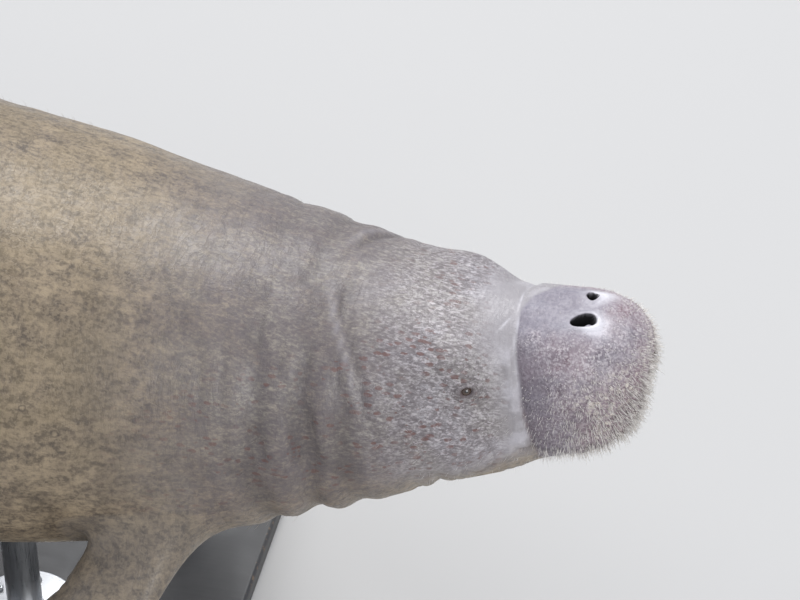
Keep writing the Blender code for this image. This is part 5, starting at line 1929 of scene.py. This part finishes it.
steel, rubber = steelMaterial(), rubberMaterial()
buildBoard(boardMaterial())
screwPlaces = []
for label in ("front", "rear"):
    (x, y), top = buildPost(label, steel, rubber)
    for turn in (np.arange(standShape["screwCount"]) + 0.5) * 2 * math.pi / standShape["screwCount"]:
        reach = standShape["screwCircle"]
        screwPlaces.append((x + reach * math.cos(turn), y + reach * math.sin(turn), top))
buildScrews(screwPlaces, steel)
print("stand made")


# Floor, light and camera

floorShape = {"radii": (0.01, 1.0, 2.0, 4.0, 8.0, 20.0, 60.0), "steps": 64, "drop": 0.0005}


def buildFloor():
    # a disc of rings just under the board
    radius = np.array(floorShape["radii"])
    a = circle(floorShape["steps"])
    drop = np.full((len(radius), len(a)), -floorShape["drop"])
    rings = np.stack([radius[:, None] * np.cos(a), radius[:, None] * np.sin(a), drop], axis=-1)
    points = np.concatenate([rings.reshape(-1, 3), [[0, 0, -floorShape["drop"]]]])
    middle = tipFaces(np.arange(len(a)), len(radius) * len(a), True)
    floor = meshPiece("studio_floor", points, ringFaces(len(radius), len(a)), middle)
    material, tree, shader, place = newMaterial("pale_floor")
    cloud = patchOf(tree, place, 1.2, softness=0.3)["Cloud"]
    colour = mixOf(tree, cloud, (0.455, 0.450, 0.440, 1), (0.495, 0.490, 0.480, 1))
    feed(tree, shader, colour, rangeOf(tree, cloud, 0.3, 0.7, 0.6, 0.75))
    floor.data.materials.append(material)


lightRows = (  # name, place, aim, size, power
    ("key_softbox", (0.3, 5.8, 10.0), (0.5, 0.0, 0.7), 7.4, 960.0),
    ("fill_softbox", (8.4, -8.2, 6.4), (0.5, 0.0, 0.6), 7.4, 720.0),
    ("rear_softbox", (-10.0, 2.4, 8.0), (-0.4, 0.0, 0.6), 8.0, 560.0),
)


def lookAt(obj, place, aim):
    # turns a lamp or a camera at that place toward its aim
    back = unit(np.array(place, float) - np.array(aim, float))
    right = unit(np.cross([0.0, 0.0, 1.0], back))
    up = np.cross(back, right)
    turned = np.eye(4)
    turned[:3] = np.column_stack([right, up, back, place])
    obj.matrix_world = Matrix(turned.tolist())


def buildLights():
    for name, place, aim, size, power in lightRows:
        lamp = bpy.data.lights.new(name, "AREA")
        lamp.energy = power
        lamp.size = size
        obj = bpy.data.objects.new(name, lamp)
        bpy.context.scene.collection.objects.link(obj)
        lookAt(obj, place, aim)
    world = bpy.data.worlds.new("soft_room")
    bpy.context.scene.world = world
    world.use_nodes = True
    background = world.node_tree.nodes["Background"]
    background.inputs["Color"].default_value = (0.86, 0.90, 1.0, 1)
    background.inputs["Strength"].default_value = 0.70


cameraShape = {
    "azimuth": math.radians(13),
    "elevation": math.radians(42),
    "distance": 4.6,
    "pixelsPerMetre": 712.0,
    "tipPixel": (654, 347.5),  # where the foremost point of the muzzle lies in the 800 by 600 picture
    "picture": (800, 600),
    "sensor": 36.0,
}


def buildCamera():
    # set so that the foremost point of the muzzle falls on its pixel
    shape = cameraShape
    a, e = shape["azimuth"], shape["elevation"]
    back = np.array([math.sin(a) * math.cos(e), -math.cos(a) * math.cos(e), math.sin(e)])
    right = np.array([math.cos(a), math.sin(a), 0.0])
    up = np.cross(back, right)
    head = np.array([corner.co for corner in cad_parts["head"].data.vertices])
    tip = head[np.argmax(head @ right)]
    scale, (width, height) = shape["pixelsPerMetre"], shape["picture"]
    x, y = shape["tipPixel"]
    aim = tip - right * ((x - width / 2) / scale) - up * ((height / 2 - y) / scale)
    camera = bpy.data.objects.new("photo_camera", bpy.data.cameras.new("photo_camera"))
    bpy.context.scene.collection.objects.link(camera)
    camera.data.sensor_width = shape["sensor"]
    camera.data.lens = shape["sensor"] * shape["distance"] / (width / scale)
    camera.data.clip_end = 200.0
    lookAt(camera, aim + back * shape["distance"], aim)
    bpy.context.scene.camera = camera


buildFloor()
buildLights()
buildCamera()
bpy.context.scene.view_settings.view_transform = "Standard"
print("stage made")
